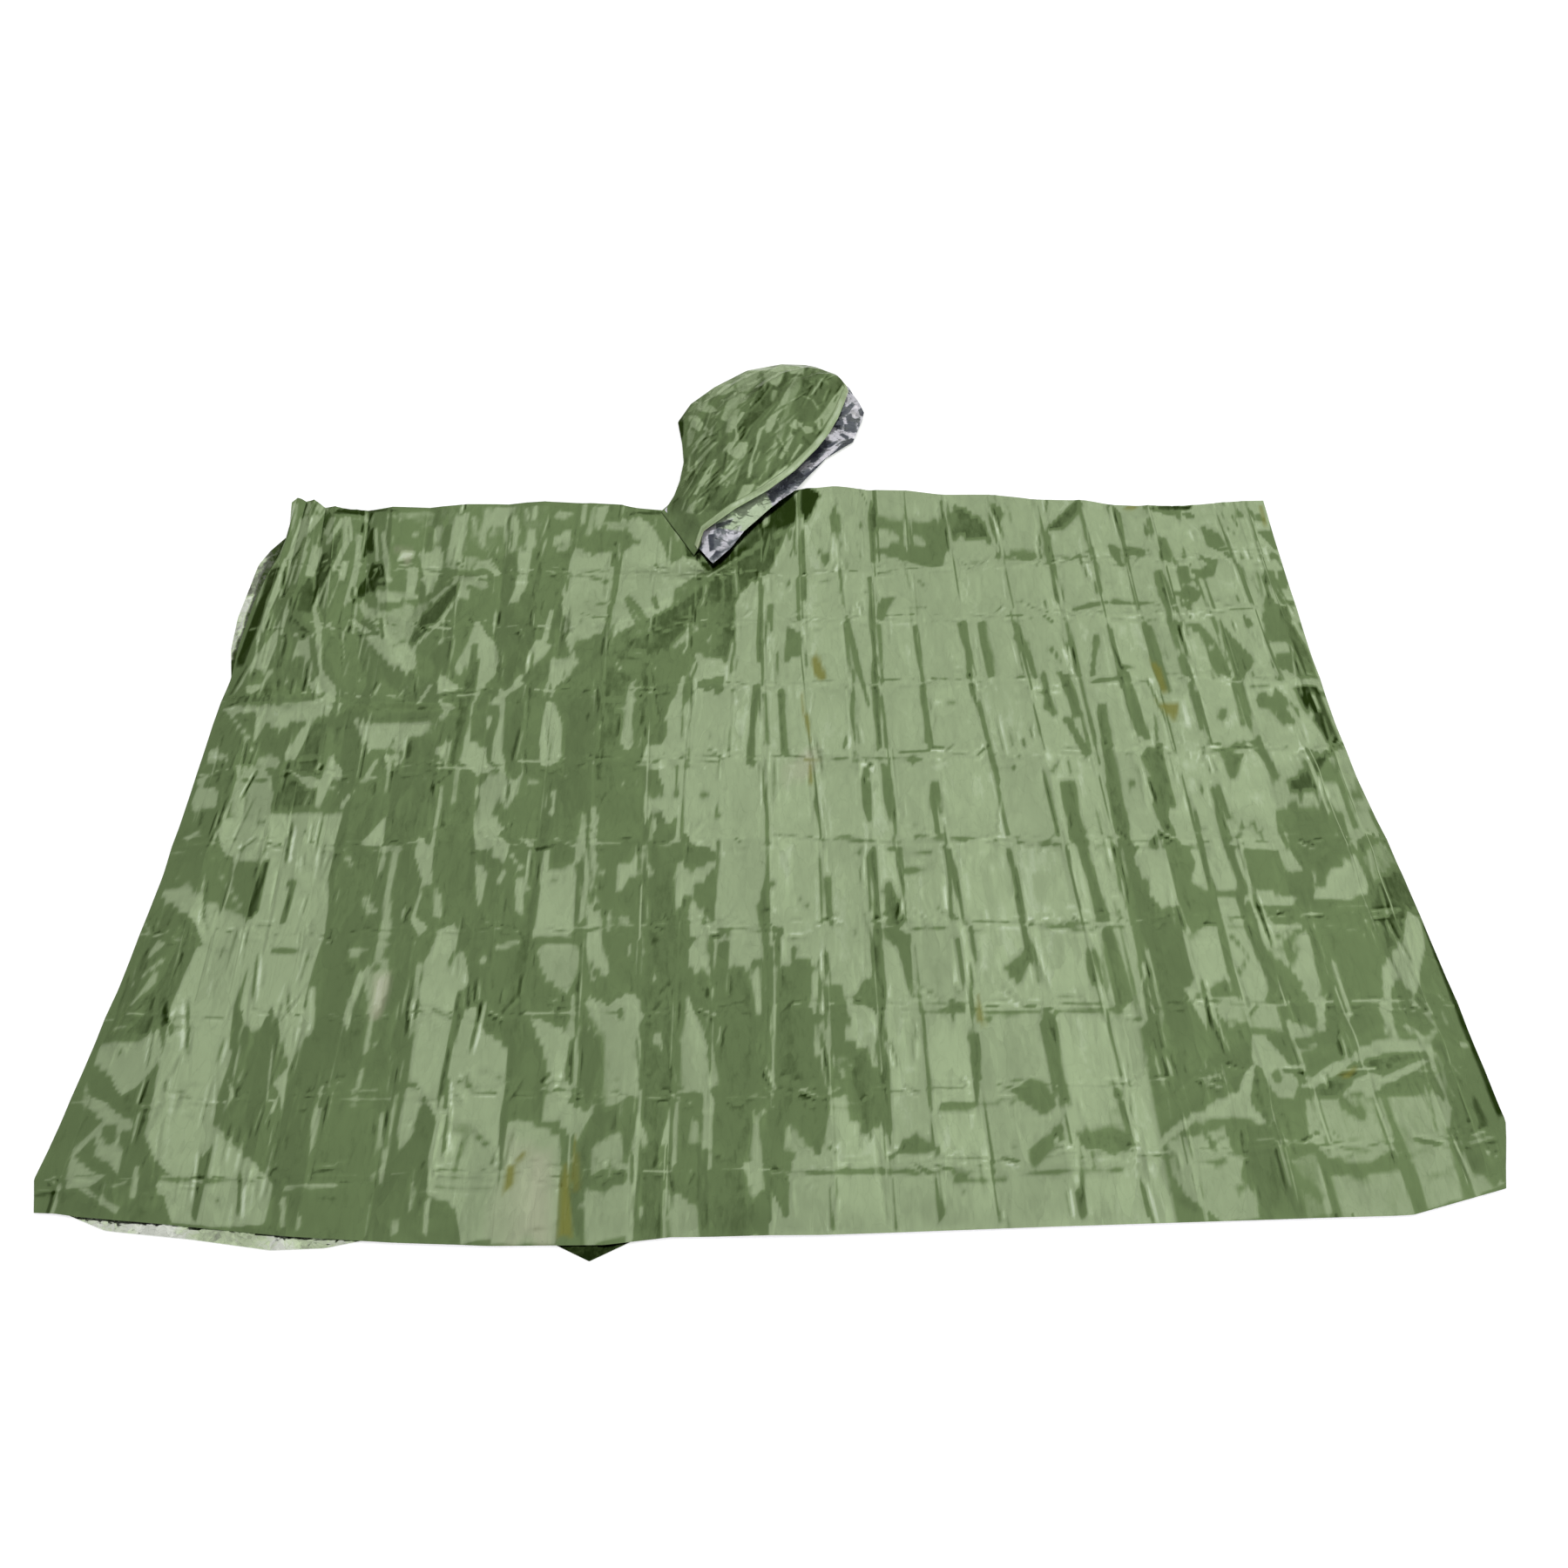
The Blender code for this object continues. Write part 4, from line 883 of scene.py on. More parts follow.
facets["rightChest"] = [
    (242, 490, 240, 422, 34, 58, -1.3), (206, 470, 196, 368, 44, 12, -1),
    (286, 492, 276, 450, 18, 8, -1), (280, 397, 328, 388, 24, 22, -0.6),
    (392, 502, 348, 440, 14, 20, -1.3), (342, 442, 340, 300, 8, 6, -1.1),
    (362, 382, 392, 402, 4, 4, -0.8), (424, 406, 466, 394, 14, 14, -1.1),
    (428, 392, 432, 366, 22, 8, -1), (470, 365, 475, 270, 14, 18, -1.1),
    (475, 270, 474, 165, 18, 7, -1), (488, 442, 486, 372, 8, 20, -1),
    (502, 370, 497, 290, 16, 6, -1.1), (515, 350, 521, 280, 4, 5, -0.9),
    (522, 272, 546, 180, 6, 34, -1), (505, 252, 516, 168, 12, 20, -0.9),
    (395, 400, 394, 318, 4, 6, -1), (440, 262, 443, 138, 12, 10, -1),
    (550, 452, 554, 398, 20, 26, -0.7), (604, 352, 598, 225, 22, 40, -1),
    (600, 210, 612, 165, 50, 22, -1), (606, 150, 615, 50, 26, 18, -1.6),
    (556, 142, 582, 92, 34, 30, -0.8), (566, 125, 562, 100, 5, 4, 0.8),
    (578, 118, 584, 88, 5, 4, 0.8), (562, -12, 602, 42, 26, 10, -1.5),
    (604, 36, 622, 56, 8, 3, -1.2), (562, 58, 560, 8, 28, 8, 1), (530, 62, 540, 0, 14, 12, -1),
    (500, 52, 490, 0, 34, 10, -1), (402, 180, 406, 68, 7, 14, -1),
    (411, 50, 414, -45, 24, 22, -1.1), (366, 120, 360, -55, 11, 14, -1.1),
    (330, 172, 336, 98, 14, 7, -1.1), (326, 98, 342, 35, 5, 6, -1),
    (305, 170, 306, 110, 7, 14, -1.1), (242, 262, 244, 165, 8, 6, -1),
    (220, 262, 223, 160, 10, 9, -0.9), (223, 160, 238, 0, 4, 5, -0.9),
    (284, 262, 297, 165, 5, 6, -1), (346, 270, 352, 20, 5, 5, -0.8),
    (376, 232, 364, 170, 7, 7, -1), (612, 490, 596, 470, 14, 16, -0.8),
    (616, 446, 627, 412, 12, 8, -0.8), (355, 286, 402, 302, 5, 7, -0.9),
    (404, 300, 458, 298, 6, 5, -1), (362, 158, 400, 167, 6, 3, -1.2),
    (472, 493, 532, 491, 5, 8, -2), (475, 160, 473, 80, 6, 5, -0.8),
    (525, 152, 522, 90, 7, 6, -0.8),
]
facets["levelCreases"] = [
    (50, -84, 96, -88, 5, 4, -0.9), (140, -86, 205, -84, 4, 5, -0.8),
    (245, -88, 300, -96, 5, 4, -0.9), (330, -96, 350, -98, 4, 4, -0.8),
    (378, -94, 450, -100, 4, 5, -0.9), (130, -205, 170, -203, 4, 4, -0.8),
    (250, -202, 320, -206, 4, 4, -0.8), (130, -305, 190, -303, 4, 4, -0.8),
    (200, -307, 330, -303, 4, 4, -0.7), (150, -410, 200, -409, 4, 5, -0.8),
    (0, -478, 120, -476, 4, 4, -0.8), (210, -478, 300, -474, 4, 4, -0.8),
]

# Larger patches: how each leans, then its corners in millimetres.
patches = [
    (-0.35, -440, 500, -300, 500, -298, 402, -345, 392, -400, 395, -440, 402),
    (0.55, -372, 492, -345, 492, -352, 462, -366, 445, -374, 460),
    (0.6, -347, 468, -338, 462, -333, 440, -334, 400, -340, 400, -343, 430),
    (0.7, -321, 495, -314, 495, -313, 464, -320, 464),
    (0.8, -323, 452, -314, 440, -311, 415, -316, 403, -322, 410),
    (0.95, -325, 400, -313, 400, -311, 340, -313, 318, -322, 302, -330, 296, -327, 320),
    (0.9, -290, 414, -268, 443, -258, 427, -280, 415),
    (0.35, -283, 414, -262, 420, -268, 400, -278, 390, -282, 398),
    (0.6, -258, 500, -250, 500, -249, 460, -256, 442, -259, 470),
    (0.55, -238, 497, -222, 497, -230, 460, -234, 445, -240, 465),
    (0.3, -225, 462, -192, 468, -193, 450, -205, 438, -222, 440),
    (0.85, -260, 402, -240, 400, -205, 416, -207, 402, -209, 375, -206, 305, -215, 298, -240, 300,
        -262, 303, -268, 318, -264, 345, -262, 380),
    (0.75, -266, 302, -254, 300, -250, 262, -262, 276),
    (0.7, -250, 292, -235, 298, -218, 290, -208, 265, -212, 245, -226, 236, -236, 228, -248, 222,
        -253, 240, -250, 265),
    (0.75, -200, 322, -190, 300, -178, 275, -182, 262, -200, 245, -204, 262),
    (0.8, -366, 268, -355, 245, -338, 228, -331, 205, -328, 188, -345, 188, -350, 205, -357, 188,
        -380, 188, -379, 210, -374, 225, -378, 248, -371, 240),
    (0.6, -395, 346, -362, 355, -357, 330, -362, 322, -378, 330, -395, 338),
    (0.5, -400, 336, -386, 330, -375, 312, -385, 306, -393, 318),
    (0.5, -410, 482, -402, 482, -400, 440, -404, 398, -412, 400),
    (0.5, -383, 490, -377, 490, -372, 450, -378, 412, -383, 420),
    (0.35, -415, 392, -385, 388, -362, 378, -362, 368, -385, 362, -412, 366),
    (0.8, -372, 384, -364, 380, -346, 356, -352, 352, -366, 366),
    (0.85, -445, 402, -424, 398, -420, 375, -424, 345, -428, 318, -434, 312, -436, 345, -446, 372),
    (0.7, -457, 372, -450, 360, -450, 318, -440, 312, -444, 300, -470, 298, -488, 302, -492, 318,
        -476, 345, -474, 322, -460, 332),
    (0.15, -488, 288, -425, 300, -430, 272, -438, 235, -462, 232, -486, 262),
    (0.85, -530, 312, -512, 300, -470, 252, -440, 214, -425, 195, -455, 192, -478, 215, -508, 262,
        -524, 288),
    (-1, -512, 292, -504, 288, -462, 236, -468, 232, -500, 268),
    (0.9, -430, 215, -424, 190, -436, 176, -448, 195, -440, 214),
    (0.5, -480, 460, -468, 462, -462, 440, -470, 425, -480, 440),
    (-0.2, -500, 480, -445, 485, -445, 450, -500, 440),
    (0.9, 372, -40, 403, -40, 401, -70, 386, -90, 388, -100, 402, -85, 403, -100, 404, -175, 385,
        -180, 378, -165, 370, -150, 368, -110, 375, -98, 368, -85),
    (0.8, 341, -40, 353, -40, 354, -100, 350, -140, 352, -180, 341, -180),
    (0.85, 412, -40, 437, -40, 438, -100, 437, -155, 425, -150, 422, -140, 430, -120, 428, -100,
        418, -90),
    (0.85, 444, -40, 463, -40, 465, -100, 468, -150, 462, -158, 445, -158, 443, -130),
    (0.75, 470, -40, 530, -40, 525, -80, 530, -95, 541, -130, 524, -132, 520, -100, 482, -98, 482,
        -150, 474, -158, 472, -120),
    (0.8, 484, -150, 500, -157, 510, -163, 526, -166, 515, -175, 480, -174, 476, -158),
    (0.95, 598, -108, 601, -130, 602, -150, 598, -162, 570, -168, 540, -166, 545, -155, 560, -145,
        562, -132, 580, -122),
    (0.5, 600, -45, 628, -45, 632, -80, 620, -78, 605, -90, 602, -110, 598, -85),
    (0, 604, -110, 618, -92, 632, -88, 638, -118, 612, -144, 606, -140),
    (-1.3, 612, -142, 642, -124, 644, -175, 636, -182, 622, -208, 600, -240, 599, -190, 605, -160),
    (0.95, 633, -178, 641, -196, 637, -225, 624, -255, 619, -275, 606, -292, 603, -262, 600, -238,
        620, -215, 625, -200),
    (0.8, 588, -250, 598, -241, 602, -262, 596, -270, 590, -280, 583, -310, 580, -338, 571, -332,
        573, -300, 580, -290),
    (0.8, 410, -212, 436, -204, 436, -270, 410, -275, 404, -268, 408, -230),
    (0.7, 443, -165, 462, -162, 466, -220, 474, -278, 462, -292, 443, -300, 443, -240),
    (0.4, 415, -290, 437, -286, 475, -298, 478, -328, 455, -327, 440, -320, 425, -324, 418, -312),
    (0.75, 390, -280, 404, -270, 408, -268, 407, -300, 403, -326, 398, -305),
    (0.6, 480, -188, 495, -198, 520, -200, 526, -215, 524, -250, 521, -300, 515, -328, 500, -333,
        480, -338, 481, -312, 490, -320, 505, -322, 512, -300, 505, -283, 500, -272, 486, -245,
        478, -230, 476, -205),
    (0.35, 488, -196, 478, -192, 477, -180, 488, -184),
    (0.75, 444, -332, 455, -330, 463, -345, 470, -360, 476, -385, 468, -403, 450, -396, 446, -370,
        438, -360),
    (0.9, 338, -452, 345, -438, 372, -418, 400, -403, 420, -394, 431, -372, 442, -362, 431, -392,
        428, -408, 442, -432, 425, -427, 410, -419, 385, -426, 360, -434),
    (0.85, 478, -388, 500, -372, 520, -362, 540, -349, 560, -339, 578, -333, 590, -339, 608, -346,
        612, -353, 590, -351, 560, -354, 540, -361, 520, -371, 505, -382, 485, -393),
    (-1.2, 482, -393, 510, -381, 540, -362, 570, -354, 600, -352, 606, -356, 575, -362, 555, -373,
        540, -373, 525, -379, 512, -397, 495, -401),
    (0.85, 510, -400, 528, -382, 545, -374, 556, -379, 580, -368, 608, -357, 592, -367, 566, -382,
        552, -388, 540, -399, 530, -396),
    (0.4, 478, -402, 530, -401, 548, -402, 550, -440, 545, -452, 520, -470, 485, -464, 472, -440),
    (0.4, 553, -400, 600, -395, 611, -410, 600, -440, 594, -503, 560, -512, 556, -450),
    (0.5, 345, -446, 400, -431, 402, -455, 412, -462, 405, -480, 413, -500, 413, -522, 380, -524,
        352, -500, 345, -480),
    (-0.1, 442, -466, 476, -455, 479, -515, 450, -524),
    (0.35, 482, -478, 545, -474, 547, -520, 483, -522),
    (0.3, 600, -500, 635, -488, 625, -478, 603, -480),
    (-1.2, -525, 90, -508, 95, -500, 5, -530, 10, -532, 30, -528, 60),
    (-1.3, -532, 5, -506, -15, -500, -10, -500, -35, -512, -38, -535, -42),
    (-1.3, -627, 120, -600, 145, -596, 155, -578, 140, -575, 120, -600, 118),
    (-1.15, -597, 200, -580, 195, -575, 160, -578, 120, -592, 125, -595, 150),
    (0.9, -615, 200, -597, 200, -598, 143, -610, 133, -622, 170),
    (0.6, -573, 182, -567, 172, -565, 155, -572, 150),
    (0.85, -572, 200, -545, 200, -527, 170, -507, 138, -520, 130, -540, 145, -548, 165, -570, 190),
    (0.9, -625, 112, -600, 118, -560, 122, -530, 128, -510, 140, -506, 122, -510, 105, -530, 92,
        -550, 90, -560, 75, -578, 90, -585, 60, -592, 105, -624, 108),
    (0.85, -530, 95, -524, 90, -530, 50, -534, 32, -545, 35, -548, 45, -540, 60, -537, 80),
    (1.2, -630, 45, -612, 42, -606, 30, -628, 28),
    (0.5, -575, 38, -560, 40, -548, 30, -550, 20, -575, 20),
    (1, -482, 98, -460, 88, -430, 92, -395, 88, -370, 80, -395, 75, -412, 68, -415, 50, -450, 50,
        -455, 40, -458, 52, -465, 60),
    (0.9, -394, 172, -370, 150, -372, 142, -392, 138, -396, 160),
    (0.8, -392, 130, -368, 114, -378, 106), (0.6, -378, 108, -392, 90, -386, 88, -372, 105),
    (0.7, -380, 200, -368, 200, -370, 170, -378, 175),
    (0.5, -350, 200, -332, 200, -330, 170, -340, 150, -348, 120, -350, 100),
    (0.7, -322, 145, -315, 140, -310, 90, -308, 50, -303, 30, -300, 10, -310, 20, -318, 30, -320,
        60, -316, 100),
    (0.9, -266, 125, -256, 120, -245, 90, -240, 30, -255, 20, -262, 22, -268, 60),
    (0.6, -268, 200, -240, 200, -240, 170, -258, 150, -262, 128, -268, 150),
    (0.9, -362, 72, -370, 60, -385, 45, -372, 35, -368, 20, -364, 25),
    (0.9, -350, 90, -345, 60, -325, 50, -322, 30, -310, 20, -318, 12, -330, 5, -345, 25, -352, 28),
    (0.85, -435, 40, -420, 42, -415, 28, -425, 15, -437, 35),
    (0.8, -445, 35, -440, 30, -448, 3, -452, 5),
    (0.8, -498, 45, -492, 35, -478, 15, -476, 0, -498, 2),
    (0.9, -530, 10, -500, 2, -487, 5, -492, -40, -497, -38, -500, -8, -506, -15),
    (0.5, -598, 25, -590, 22, -565, 20, -552, 5, -545, -20, -545, -40, -540, -52, -590, -54, -592,
        -20, -593, 10),
    (0.9, -630, -15, -605, -12, -600, -45, -615, -45, -630, -38),
    (0.7, -632, 10, -622, 10, -625, -10, -632, -8),
    (0.8, -330, -5, -318, -3, -320, -25, -328, -30),
    (0.55, -318, 12, -300, 10, -290, 0, -280, 12, -282, -20, -292, -45, -300, -30, -303, -60, -325,
        -60, -322, -30),
    (0.95, -252, -20, -240, -10, -240, -50, -252, -45),
    (0.95, -590, -48, -465, -46, -465, -90, -462, -140, -455, -180, -452, -215, -455, -245, -455,
        -300, -485, -300, -490, -325, -505, -325, -515, -300, -518, -255, -522, -240, -570, -225,
        -585, -195, -600, -185, -628, -165, -630, -150, -600, -155, -560, -185, -535, -195, -530,
        -190, -535, -120, -560, -118, -580, -105, -590, -80),
    (-0.7, -600, -60, -592, -100, -575, -110, -560, -118, -545, -125, -540, -150, -530, -185, -545,
        -190, -560, -175, -580, -160, -600, -150, -630, -140, -630, -100),
    (-1.2, -592, -225, -585, -240, -583, -320, -600, -335, -620, -330, -615, -300, -600, -270),
    (1, -575, -225, -560, -230, -520, -235, -518, -250, -522, -300, -515, -345, -510, -350, -510,
        -430, -490, -445, -450, -480, -442, -490, -442, -525, -460, -530, -520, -525, -535, -500,
        -545, -490, -540, -475, -552, -465, -568, -440, -575, -350, -580, -310, -578, -260),
    (0.9, -635, -345, -600, -335, -585, -325, -578, -345, -575, -360, -590, -390, -600, -400, -615,
        -380, -635, -365),
    (0.85, -632, -395, -600, -415, -578, -428, -585, -438, -610, -425, -630, -410),
    (0.8, -615, -428, -600, -448, -582, -452, -580, -480, -590, -470, -605, -462),
    (0.75, -628, -450, -622, -462, -600, -478, -590, -480, -600, -490, -622, -495, -625, -480),
    (0.95, -486, -300, -450, -302, -448, -340, -453, -370, -450, -420, -455, -400, -465, -385,
        -455, -365, -465, -345, -475, -320),
    (0.85, -418, -50, -415, -95, -440, -95, -430, -75),
    (0.6, -405, -100, -395, -98, -395, -160, -388, -200, -390, -245, -397, -245, -400, -190, -402,
        -150),
    (0.75, -380, -95, -362, -92, -358, -120, -355, -145, -365, -150, -372, -130, -380, -105),
    (0.8, -368, -150, -362, -155, -365, -190, -355, -195, -350, -205, -358, -215, -370, -195),
    (1, -340, -205, -325, -200, -318, -225, -308, -240, -300, -270, -310, -285, -312, -400, -308,
        -425, -320, -405, -335, -380, -340, -385, -345, -300, -348, -250),
    (0.8, -342, -390, -325, -395, -328, -440, -338, -455, -342, -430),
    (0.95, -300, -300, -290, -300, -282, -325, -262, -340, -254, -350, -252, -420, -245, -480,
        -245, -540, -270, -545, -280, -510, -305, -500, -310, -460, -308, -380, -305, -340),
    (0.8, -325, -50, -300, -50, -295, -80, -282, -95, -285, -115, -300, -110, -300, -98, -318,
        -105, -322, -80),
    (0.85, -318, -110, -310, -120, -300, -130, -300, -170, -305, -178, -312, -140),
    (1, -262, -100, -240, -102, -238, -125, -212, -122, -208, -150, -205, -215, -245, -215, -250,
        -195, -248, -150, -260, -150),
    (0.5, -240, -228, -195, -230, -195, -255, -205, -290, -215, -280, -235, -255),
    (0.9, -240, -308, -205, -325, -195, -340, -188, -360, -190, -400, -200, -425, -213, -425, -212,
        -380, -222, -345),
    (-1.1, -258, -50, -247, -50, -247, -330, -257, -330),
    (0.8, -245, -425, -235, -422, -195, -440, -190, -545, -245, -545),
    (0.7, -190, -170, -180, -172, -176, -225, -192, -228),
    (-1.95, -20, 500, 5, 515, 35, 545, 52, 525, 48, 498, 38, 472, 30, 472, 20, 485, 0, 478, -10,
        463, -25, 478),
    (-1.35, -45, 440, -25, 480, -10, 465, 0, 455, -10, 430, -50, 420),
]

# Where the ground turns from dark to lit and then to mottled, at places up the body, all in
# millimetres.
ground = table("y lit mottled", [
    (-540, -10, 400), (-460, 20, 380), (-420, 100, 350), (-360, 100, 335), (-280, 60, 340),
    (-200, -20, 380), (-100, -95, 470), (-20, -140, 560), (50, -150, 640), (130, -135, 700),
    (200, -95, 700), (300, -60, 700), (350, -20, 700), (420, 20, 700), (530, 30, 700),
])

# Olive stains and worn pinkish places, two of the pale ones being painted glints: from, to, width
# at each end, in millimetres, strength.
stains = [
    (37, 208, 48, 165, 6, 12, 0.9), (27, 140, 28, 105, 6, 6, 0.7), (30, 105, 36, 55, 8, 4, 0.8),
    (28, 32, 46, 34, 6, 5, 0.9), (35, 25, 35, -8, 8, 7, 0.8), (-237, -495, -237, -468, 7, 7, 0.9),
    (-235, -465, -222, -457, 6, 5, 0.9), (-188, -470, -182, -542, 3, 12, 0.85),
    (-180, -455, -178, -500, 3, 4, 0.6), (-183, -440, -181, -490, 3, 4, 0.7),
    (190, -288, 191, -320, 3, 8, 0.8), (438, 195, 442, 135, 9, 5, 0.8),
    (443, 125, 447, 98, 26, 6, 0.9), (455, 495, 465, 488, 14, 12, 0.8),
    (627, 500, 624, 450, 4, 5, 0.6), (522, -378, 532, -368, 6, 6, 0.8),
    (525, -516, 530, -520, 8, 8, 0.8),
]
wornPlacesAndGlints = [
    (-218, -446, -216, -542, 26, 46, 0.42), (28, 45, 30, 8, 28, 24, 0.45),
    (-388, -265, -386, -300, 5, 5, 0.6), (-481, 390, -468, 384, 10, 8, 0.6),
]

# The ground under the charted facets.
tones = {
    "dark": -0.90,
    "litMore": 1.85,
    "mottled": 0.85,
    "charted": -0.92,  # where facets and patches are charted one by one
    "limits": (-1.03, 1.40),
    "chartedLeft": -0.19,
    "cornerX": 0.335,
    "cornerY": -0.04,
    "streakGrain": (60.0, 5.0),  # down and across, in cells
    "cells": ((9 * mm, 62 * mm, 8), (30 * mm, 34 * mm, 9), (13 * mm, 16 * mm, 10)),  # size, seed
    "wander": (14 * mm, 12 * mm, 6 * mm),  # of the turn: by cell, by panel and by streak
    "turnWidth": 0.06,  # over which lit film becomes mottled
    "crumpled": 0.6,  # busier film than this is crumpled
    "facetFlip": (1.6, -0.9),  # a facet whose number is over the first faces the other way
    "shardFlip": (2.1, -0.8),
}


def busyAt(x):
    return np.interp(x, body["busyX"], body["busy"])


def bodyCanvas():
    canvas = newCanvas(-0.72, 0.72, -0.62, 0.60, 1.2 * mm, seed=11)
    shape = canvas["lean"].shape
    gridX, gridY = np.meshgrid(canvas["x"], canvas["y"])
    streaks = softNoise(shape, tones["streakGrain"], 5)
    # each panel between packing folds leans its own way a little, and takes one tone near the turn
    strip = np.zeros(shape, int)
    for number in range(1, packCount + 1):
        strip += gridX > packLineX(np.full(shape, number), gridY)
    band = np.zeros(shape, int)
    for fold in range(crossCount):
        band += gridY > crossFoldY(fold, gridX)
    random = np.random.default_rng(7)
    panel = random.standard_normal((strip.max() + 1, band.max() + 1))[strip, band]
    panelX = 0.5 * (packLineX(strip, gridY) + packLineX(strip + 1, gridY))
    layers = []
    for sizeX, sizeY, seed in tones["cells"]:
        cell, middleX, middleY = cellsOf(canvas, sizeX, sizeY, seed)
        random = np.random.default_rng(seed + 20)
        tone, tipX, tipY = random.standard_normal((3, cell.max() + 1))
        tipped = tipX[cell] * (gridX - middleX) / sizeX + tipY[cell] * (gridY - middleY) / sizeY
        layers.append((tone[cell], tipped, middleX))
    (streak, streakTip, streakX), (facet, facetTip, facetX), (shard, shardTip, _) = layers
    # the film is crumpled at the right edge, and streaked along its folds elsewhere
    busy = busyAt(gridX)
    crumpled = busy > tones["crumpled"]
    local = np.where(crumpled, facet, streak)
    localX = np.where(crumpled, facetX, streakX)
    byCell, byPanel, byStreak = tones["wander"]
    place = 0.4 * panelX + 0.6 * localX + byCell * local + byPanel * panel + byStreak * streaks
    turn = np.interp(gridY, ground["y"] * mm, ground["lit"] * mm)
    toMottled = np.interp(gridY, ground["y"] * mm, ground["mottled"] * mm)
    mottled = ease((place - toMottled) / tones["turnWidth"] + 0.5)
    mixed = np.tanh(1.4 * (0.5 * panel + 0.6 * local + 0.35 * shard))
    tone = tones["dark"] + tones["litMore"] * (place > turn)
    tone = mix(tone, tones["mottled"] * mixed, mottled)
    # in the crumpled film some facets, and a few shards of them, face the other way
    for number, (most, flip) in ((facet, tones["facetFlip"]), (shard, tones["shardFlip"])):
        tone = np.where(crumpled & (number > most), flip * tone, tone)
    tips = 0.30 * np.where(crumpled, facetTip, 0.8 * streakTip) + 0.20 * busy * shardTip
    lean = tone + tips + 0.13 * panel + 0.10 * np.clip(streaks, -3.0, 0.8)
    # the left and the right corner are charted patch by patch, over an even dark ground
    corner = ease((gridX - tones["cornerX"]) / 0.01) * ease((tones["cornerY"] - gridY) / 0.01)
    even = np.maximum(ease((tones["chartedLeft"] - gridX) / 0.02), corner)
    lean = mix(lean, tones["charted"] + 0.5 * tips + 0.08 * streaks, even)
    canvas["lean"] = np.clip(lean, *tones["limits"])
    drawPatches(canvas, patches)
    rows = [row for group in facets.values() for row in group]
    drawRows(canvas, "lean", [row for row in rows if max(row[4:6]) >= body["wideFacet"]])
    foldBands(canvas)
    scatterShards(canvas, body["shards"], seed=22)
    drawRows(canvas, "lean", [row for row in rows if max(row[4:6]) < body["wideFacet"]])
    drawRows(canvas, "stain", stains)
    # pale places: worn ones, and two painted glints whitened
    drawRows(canvas, "fade", wornPlacesAndGlints, soft=4.0, fray=2.5)
    canvas["rise"] = leanToRise(canvas, body["slope"], body["levelReach"])
    return canvas


def isCharted(x, y):
    left = x < tones["chartedLeft"] or (x < 0.02 and y > 0.24)
    return left or (x > tones["cornerX"] and y < tones["cornerY"])


def toneAt(canvas, x, y):
    return float(readCanvas(canvas, "lean", np.array(x), np.array(y)))


def endOf(x, y, length, tilt):
    return x + length * math.cos(math.radians(tilt)), y + length * math.sin(math.radians(tilt))


def foldBands(canvas):
    # beside each packing fold the film turns away: a dark band where it is lit and a lit one
    # where it is dark, with a pale or dark line along its crisp side
    random = np.random.default_rng(17)
    for number in range(1, packCount + 1):
        for band in range(crossCount + 1):
            x = float(packLineX(number, np.array(0.0)))
            low, high = (float(crossLineY(band + step, np.array(x))) for step in (0, 1))
            start, end = random.uniform(-0.05, 0.35), random.uniform(0.6, 1.05)
            offset = random.normal(0.0, 2.0) * mm
            ys = mix(low, high, start), mix(low, high, end)
            xs = [float(packLineX(number, np.array(y))) + offset for y in ys]
            middleX, middleY = 0.5 * sum(xs), 0.5 * sum(ys)
            sides = (toneAt(canvas, middleX + step, middleY) for step in (-0.012, 0.012))
            lit = 0.5 * sum(sides) > 0.0
            width, toWidth = random.gamma(2.2, 1.9 if lit else 1.3, 2) * mm + 1.4 * mm
            likely = (0.86 if lit else 0.6) * (0.6 if middleX < -0.15 else 1.0)
            if random.random() > likely or isCharted(middleX, middleY):
                continue
            ends = xs[0], ys[0], xs[1], ys[1]
            turn = -1.0 if lit else 1.0
            value = turn * random.uniform(0.45, 1.1)
            drawFacet(canvas, "lean", *ends, width, toWidth, value, fray=1.3)
            side = random.choice((-1, 1)) * (0.25 * (width + toWidth) + 1.3 * mm)
            value = -turn * random.uniform(1.1, 1.5)
            ends = xs[0] + side, ys[0], xs[1] + side, ys[1]
            drawFacet(canvas, "lean", *ends, 2.6 * mm, 2.0 * mm, value)


def scatterShards(canvas, count, seed):
    # small angular facets that catch the light the other way, most of them left and at the edges
    random = np.random.default_rng(seed)
    for _ in range(count):
        x, y = random.uniform(-0.64, 0.64), random.uniform(-0.54, 0.50)
        if random.random() > busyAt(x):
            continue
        if isCharted(x, y) and random.random() > 0.25:
            continue
        length = random.gamma(2.0, 8.0) * mm + 4 * mm
        kind = random.random()
        if kind < 0.6:
            tilt = random.normal(92, 9)
        else:
            tilt = random.normal(0, 22) if kind < 0.8 else random.uniform(20, 160)
        toX, toY = endOf(x, y, length, tilt)
        width = random.uniform(1.8, 7.0) * mm
        tone = toneAt(canvas, x, y)
        value = -math.copysign(random.uniform(0.1, 1.1), tone)
        if random.random() < 0.25:
            value = 1.5 * tone
        toWidth = width * random.uniform(0.0, 1.0)
        drawFacet(canvas, "lean", x, y, toX, toY, width, toWidth, value)


